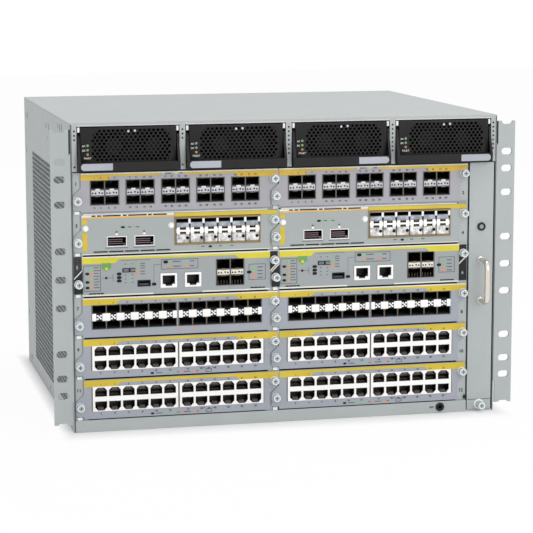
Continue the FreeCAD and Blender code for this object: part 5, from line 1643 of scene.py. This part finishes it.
@dataclass
class FanModule:
    """The fan module's bright pull handle, lamp and captive screw."""

    across: float = 205.8
    handle_middle: float = 139.2
    span: float = 43.0
    reach: float = 24.0
    rod: float = 2.75
    bend: float = 8.0
    steps: int = 8
    lamp_up: float = 195.3
    screw_up: float = 7.1

    def handle(self) -> Mesh:
        """Models the bent rod by extruding and spinning one round end.

        Returns:
            The handle.
        """
        low = self.handle_middle - self.span / 2
        straight = self.reach - self.rod - self.bend

        def extend(*shift: float) -> None:
            """Draws the open end out by millimetres."""
            bpy.ops.mesh.extrude_edges_move(TRANSFORM_OT_translate={"value": [v * MM for v in shift]})

        def turn(middle: float) -> None:
            """Turns the open end by a quarter round a centre at a height."""
            bpy.ops.mesh.spin(steps=self.steps, angle=math.pi / 2, axis=(1, 0, 0),
                              center=(self.across * MM, (FRONT - straight) * MM, middle * MM))

        Bench.clear()
        bpy.ops.mesh.primitive_circle_add(vertices=20, radius=self.rod * MM, fill_type="NOTHING",
                                          rotation=(math.pi / 2, 0, 0),
                                          location=(self.across * MM, FRONT * MM, low * MM))
        piece = Bench.settle(bpy.context.object)
        with Bench.editing(piece):
            extend(0, -straight, 0)
            turn(low + self.bend)
            extend(0, 0, self.span - self.bend * 2)
            turn(low + self.span - self.bend)
            extend(0, straight, 0)
            bpy.ops.mesh.select_all(action="SELECT")
            bpy.ops.mesh.remove_doubles(threshold=0.00001)
            bpy.ops.mesh.select_all(action="DESELECT")
            bpy.ops.mesh.select_non_manifold()
            bpy.ops.mesh.edge_face_add()
            bpy.ops.mesh.select_all(action="SELECT")
            bpy.ops.mesh.normals_make_consistent(inside=False)
        return piece

    def build(self) -> None:
        """Dresses the fan module."""
        handle = Bench.finish(self.handle(), "fan_handle_rod", "fan_module", CHROME, smooth=60)
        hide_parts("fan_handle")
        nuts = [Bench.rod((self.across, FRONT - 1.2, self.handle_middle + rise), 4.2, 1.25, "y", 6, 0.25)
                for rise in (-self.span / 2, self.span / 2)]
        bezel = Bench.cut(Bench.rod((self.across, FRONT - 2.2, self.lamp_up), 4.3, 2.25, "y", 32, 0.5),
                          Bench.rod((self.across, FRONT - 4, self.lamp_up), 2.9, 3))
        for name, piece, finish in (
                ("fan_handle_nuts", Bench.join(nuts), BRIGHT), ("power_lamp_bezel", bezel, RING),
                ("power_lamp_lens", Bench.rod((self.across, FRONT - 1.7, self.lamp_up), 2.7, 1.0, "y", 24, 0.6), LENS),
                ("fan_panel_line", Bench.block((193.2, FRONT - 0.15, 12.0), (218.4, FRONT + 0.1, 12.5)), GRAPHITE)):
            Bench.finish(piece, name, "fan_module", finish)
        for trim in Screw(rise=10.8, collar=5.4).parts((0.0, 0.0)):
            Bench.finish(trim.piece, f"fan_{trim.suffix}", "fan_module", trim.finish,
                         (self.across, FRONT, self.screw_up))
        coat(CASE.material(), "fan_tray")
        coat(RING.material(), "power_lamp")
        coat(ROTOR.material(), *(f"fan_rotor_{number}" for number in range(1, 5)))
        LOG.info("fan module: handle, lamp, screw")


@dataclass
class CaseDress:
    """The case's own finishes and small trims."""

    number_size: float = 4.8
    number_places: tuple[Span, Span] = ((-216.2, 29.4), (186.4, 9.6))
    control_row: int = 2
    bays: tuple[float, ...] = tuple(SUPPLY_PITCH * (index - 1.5) for index in range(4))
    inlet_up: float = 285.0
    rear: float = 203.4
    finishes: dict[Finish, tuple[str, ...]] = field(default_factory=lambda: {
        CASE: ("base_pan", "rear_panel", "rack_ear_left", "rack_ear_right", "bay_dividers", "card_cage"),
        COVER: ("top_cover",), SHADED_STEEL: ("bay_shelf",), PCB: ("backplane",), INLET: ("power_inlets",),
        INK: ("ground_jack",)})

    @staticmethod
    def add(name: str, pieces: Iterable[Mesh], finish: Finish, depth: float = 0.0) -> None:
        """Joins pieces and fixes them to the case, at a depth behind the front."""
        Bench.finish(Bench.join(pieces), name, "chassis", finish, (0, depth, 0))

    def slot_numbers(self, *rows: int) -> list[Mesh]:
        """Models the slot numbers beside some rows of cards."""
        return [Bench.number(str(row * 2 + column + 1), (x, row_low(row) + z), self.number_size)
                for column, (x, z) in enumerate(self.number_places) for row in rows]

    def front_trims(self) -> None:
        """Models the painted highlight along the cover's lip, slot numbers, pale tabs that are partly a painted
        highlight, divider holes as dark discs of painted shade, and the strap socket's ring.
        """
        # A pale strip paints the highlight along the cover's front lip.
        self.add("cover_lip_lines", [Bench.block((x - 51.0, FRONT - 0.15, 307.6), (x + 51.0, FRONT + 0.05, 308.8))
                                     for x in self.bays], LIP_HIGHLIGHT)
        self.add("slot_numbers", self.slot_numbers(0, 1, 3, 4, 5), INK, FRONT + 1.8)
        self.add("pale_numbers", self.slot_numbers(self.control_row), LABEL, FRONT + 1.3)
        # The tabs are bare flanges made whiter to paint the highlight they catch.
        self.add("cage_tabs", [Bench.block((x - 2.55, FRONT + 0.15, CARD_LOW + ROW_PITCH * row - 1.05),
                                           (x + 2.55, FRONT + 1.85, CARD_LOW + ROW_PITCH * row + 2.05), 0.3)
                               for x in (-215.7, -14.1) for row in range(ROWS)], PALE)
        # Dark discs stand for the dividers' holes: painted shade in place of openings.
        holes = [(x, z) for x in (-217.4, -SUPPLY_PITCH) for z in (303.0, 298.6, 294.4, 267.6)]
        holes += [(x, 303.0 - 4.4 * step) for x in (0.0, SUPPLY_PITCH, 217.4) for step in range(7)]
        self.add("divider_holes", [Bench.rod((x, FRONT - 0.12, z), 0.95, 0.17, "y", 12) for x, z in holes], HOLLOW_SHADE)
        self.add("side_catch", [Bench.block((189.0, FRONT - 1.0, 13.6), (191.6, FRONT + 1.9, 17.4), 0.4)], INK)
        collar = Bench.rod((163.0, FRONT - 1.6, 6.2), 4.5, 1.6, "y", 32, 0.4)
        self.add("strap_socket_ring", [Bench.cut(collar, Bench.rod((163.0, FRONT - 3, 6.2), 2.6, 6))], INK)
        self.add("strap_word", [Bench.number("ESD", (154.2, 6.2), 2.8)], GRAPHITE, FRONT)

    def dark_plates(self) -> None:
        """Models the dark patterned plates beside the control cards."""
        plates, studs = [], []
        foot = row_low(self.control_row)
        for left in (CARD_LEFT, CARD_LEFT + COLUMN_PITCH):
            spot = Spot(left, foot)
            stud = spot.block((-7.5, -6.6), (FRONT + 1.1, FRONT + 1.3), (18.6, 19.5))
            for group, piece in ((plates, spot.block((-7.7, -0.3), (FRONT + 1.25, FRONT + 1.85), (18.0, 39.8))),
                                 (studs, Bench.row(Bench.row(stud, 5, (1.5, 0, 0)), 14, (0, 0, 1.5)))):
                group.append(Bench.slice(piece, (left - 8.0, 0, foot + 18.6), (7.5, 0, -8.0)))
        right = Bench.block((182.5, FRONT + 1.3, foot + 1.2), (190.9, FRONT + 1.85, foot + 24.6))
        plates.append(Bench.slice(right, (181.9, 0, foot + 17.0), (-7.5, 0, 8.2)))
        self.add("dark_plates", plates, LUG)
        self.add("plate_studs", studs, GRAPHITE)

    def gap_trims(self) -> None:
        """Models dark strips in the ears' gaps that paint the shade there, and the fillers between the columns of
        cards.
        """
        # Black strips in the ears' gaps paint their shade.
        self.add("ear_gap_seals", [Bench.block((x - 0.75, FRONT + 0.8, 281.0), (x + 0.75, FRONT + 4.0, 304.4), 0.2)
                                   for x in (-222.3, 222.3)], INK)
        lows = [CARD_LOW + ROW_PITCH * row for row in range(ROWS)]
        tops = [low + 43.4 for low in lows[:-1]] + [lows[-1] + 39.8]
        self.add("column_gap_fillers", [Bench.block((-11.4, FRONT + 0.3, low + 26.4), (-10.2, FRONT + 1.15, top))
                                        for low, top in zip(lows, tops)], COVER)

    def rear_trims(self) -> None:
        """Models the inlets' pins and the rear panel's screws."""
        places = [(x + dx, self.inlet_up + dz)
                  for x in self.bays for dx, dz in ((-7.0, -2.0), (7.0, -2.0), (0.0, 3.0))]
        pins = [Bench.block((x - 1.0, 187.6, z - 2.0), (x + 1.0, 201.0, z + 2.0), 0.4) for x, z in places]
        self.add("inlet_pins", pins, BRIGHT)
        screws = [Bench.rod((x + dx, self.rear, self.inlet_up), 2.6, 2.1, "y", 16, 0.3)
                  for x in self.bays for dx in (-19.2, 19.2)]
        places = [(x, z) for x in (-212.0, 212.0) for z in (12.0, 85.0, 158.0, 231.0, 298.0)]
        places += [(x, 12.0) for x in (-106.0, 0.0, 106.0)]
        screws += [Bench.rod((x, self.rear, z), 2.8, 0.9, "y", 16, 0.3) for x, z in places]
        self.add("rear_screws", screws, BRIGHT)

    def build(self) -> None:
        """Dresses the case."""
        for finish, nodes in self.finishes.items():
            coat(finish.material(), *nodes)
        PerforatedWall("side_wall_left", -221.5, -220.0).build()
        PerforatedWall("side_wall_right", 221.5, 220.0).build()
        self.front_trims()
        self.dark_plates()
        self.gap_trims()
        self.rear_trims()
        LOG.info("case: finishes, walls and trims")


@dataclass
class Studio:
    """The floor, the light and the camera."""

    camera_place: Point = (-491.0, -2146.5, 474.0)
    yaw: float = -13.4
    pitch: float = 8.79
    roll: float = 0.07
    lens: float = 136.1
    ambient: float = 0.68
    case_middle: float = 11.0
    case_half: Span = (221.5, 192.5)
    side_fall: float = 2.6
    shadow_reach: float = 36.0
    shadow_low: float = 0.12
    shadow_high: float = 0.95
    lamp_aim: Point = (0, 0, 150)
    white: tuple[float, ...] = (1.0, 1.0, 1.0, 1.0)
    matt: tuple[float, ...] = (0.94, 0.94, 0.94, 1.0)

    def split(self, graph: Graph, usual: bpy.types.Node, seen: bpy.types.Node, output: bpy.types.Node,
              share: Any = 1.0) -> None:
        """Shows one shader to the camera and to reflections, and another to all other light.

        Args:
            graph: The node tree.
            usual: The shader for all other light.
            seen: The shader for the camera and reflections.
            output: The output node.
            share: How much of the seen shader shows.
        """
        path = graph.node("LightPath").outputs
        first = graph.math("MAXIMUM", path["Is Camera Ray"], path["Is Glossy Ray"])
        either = graph.math("MAXIMUM", first, path["Is Transmission Ray"])
        mix = graph.node("MixShader", {"Fac": graph.math("MULTIPLY", either, share), 1: usual.outputs[0],
                                       2: seen.outputs[0]})
        graph.feed(output.inputs["Surface"], mix.outputs[0])

    def world(self) -> None:
        """Sets an even light whose background is white where the camera and reflections see it."""
        world = bpy.data.worlds.new("studio")
        bpy.context.scene.world = world
        graph = Graph.bare(world)
        light, seen = (graph.node("Background", {"Color": self.white, "Strength": strength})
                       for strength in (self.ambient, 1.0))
        self.split(graph, light, seen, graph.node("OutputWorld"))

    def clear_of_case(self, graph: Graph) -> Socket:
        """Works out how much of the floor's white glow shows, by distance from the case: less beside the case, so the
        floor's lit shadow shows there, and the floor there is also painted a little darker, a painted shadow band.

        Args:
            graph: The floor's node tree.

        Returns:
            The clearness, low beside the case and high farther out.
        """
        axes = graph.axes(graph.place())
        gaps = [graph.math("MULTIPLY_ADD", graph.math("ABSOLUTE", graph.math("SUBTRACT", axes[axis], middle * MM)),
                           scale, -half * scale * MM)
                for axis, middle, half, scale in (("X", 0.0, self.case_half[0], self.side_fall),
                                                  ("Y", self.case_middle, self.case_half[1], 1.0))]
        return graph.ranged(graph.math("MAXIMUM", *gaps), self.shadow_low, self.shadow_high,
                            From_Max=self.shadow_reach * MM)

    def floor(self) -> None:
        """Lays a pale floor that keeps the object's shadow, darkened round the case by a painted shadow band."""
        Bench.clear()
        bpy.ops.mesh.primitive_plane_add(size=12.0, location=(0, 0, -0.0003))
        piece = bpy.context.object
        piece.name = "floor"
        made = bpy.data.materials.new("floor_white")
        graph = Graph.bare(made)
        matt = graph.node("BsdfDiffuse", {"Color": self.matt})
        glow = graph.node("Emission", {"Color": self.white})
        self.split(graph, matt, glow, graph.node("OutputMaterial"), self.clear_of_case(graph))
        piece.data.materials.append(made)

    def lamp(self, name: str, place: Point, size: float, power: float) -> None:
        """Hangs one soft lamp that faces the object.

        Args:
            name: Its name.
            place: Where it hangs.
            size: Its width in metres.
            power: Its power in watts.
        """
        Bench.clear()
        spot = Vector(place) * MM
        turn = (spot - Vector(self.lamp_aim) * MM).to_track_quat("Z", "Y").to_euler()
        bpy.ops.object.light_add(type="AREA", location=spot, rotation=turn)
        light = bpy.context.object
        light.name = name
        light.data.shape = "DISK"
        light.data.size = size
        light.data.energy = power

    def camera(self) -> None:
        """Places the camera at the picture's angle."""
        Bench.clear()
        turn = (math.radians(90 - self.pitch), math.radians(self.roll), math.radians(self.yaw))
        bpy.ops.object.camera_add(location=[v * MM for v in self.camera_place], rotation=turn)
        camera = bpy.context.object
        camera.data.lens = self.lens
        camera.data.sensor_width = 36.0
        camera.data.clip_start = 0.05
        camera.data.clip_end = 50.0
        bpy.context.scene.camera = camera

    def build(self) -> None:
        """Sets up the studio."""
        self.world()
        self.floor()
        self.lamp("lamp_top", (500, 100, 2300), 1.6, 13)
        self.lamp("lamp_front", (700, -2500, 1100), 2.2, 24)
        self.camera()
        bpy.context.scene.view_settings.view_transform = "Standard"


def main() -> None:
    """Builds the studio and dresses the switch."""
    logging.basicConfig(level=logging.INFO, format="%(message)s")
    Studio().build()
    CaseDress().build()
    FanModule().build()
    SupplyDress().build()
    Cards().build()


if __name__ == "__main__":
    main()
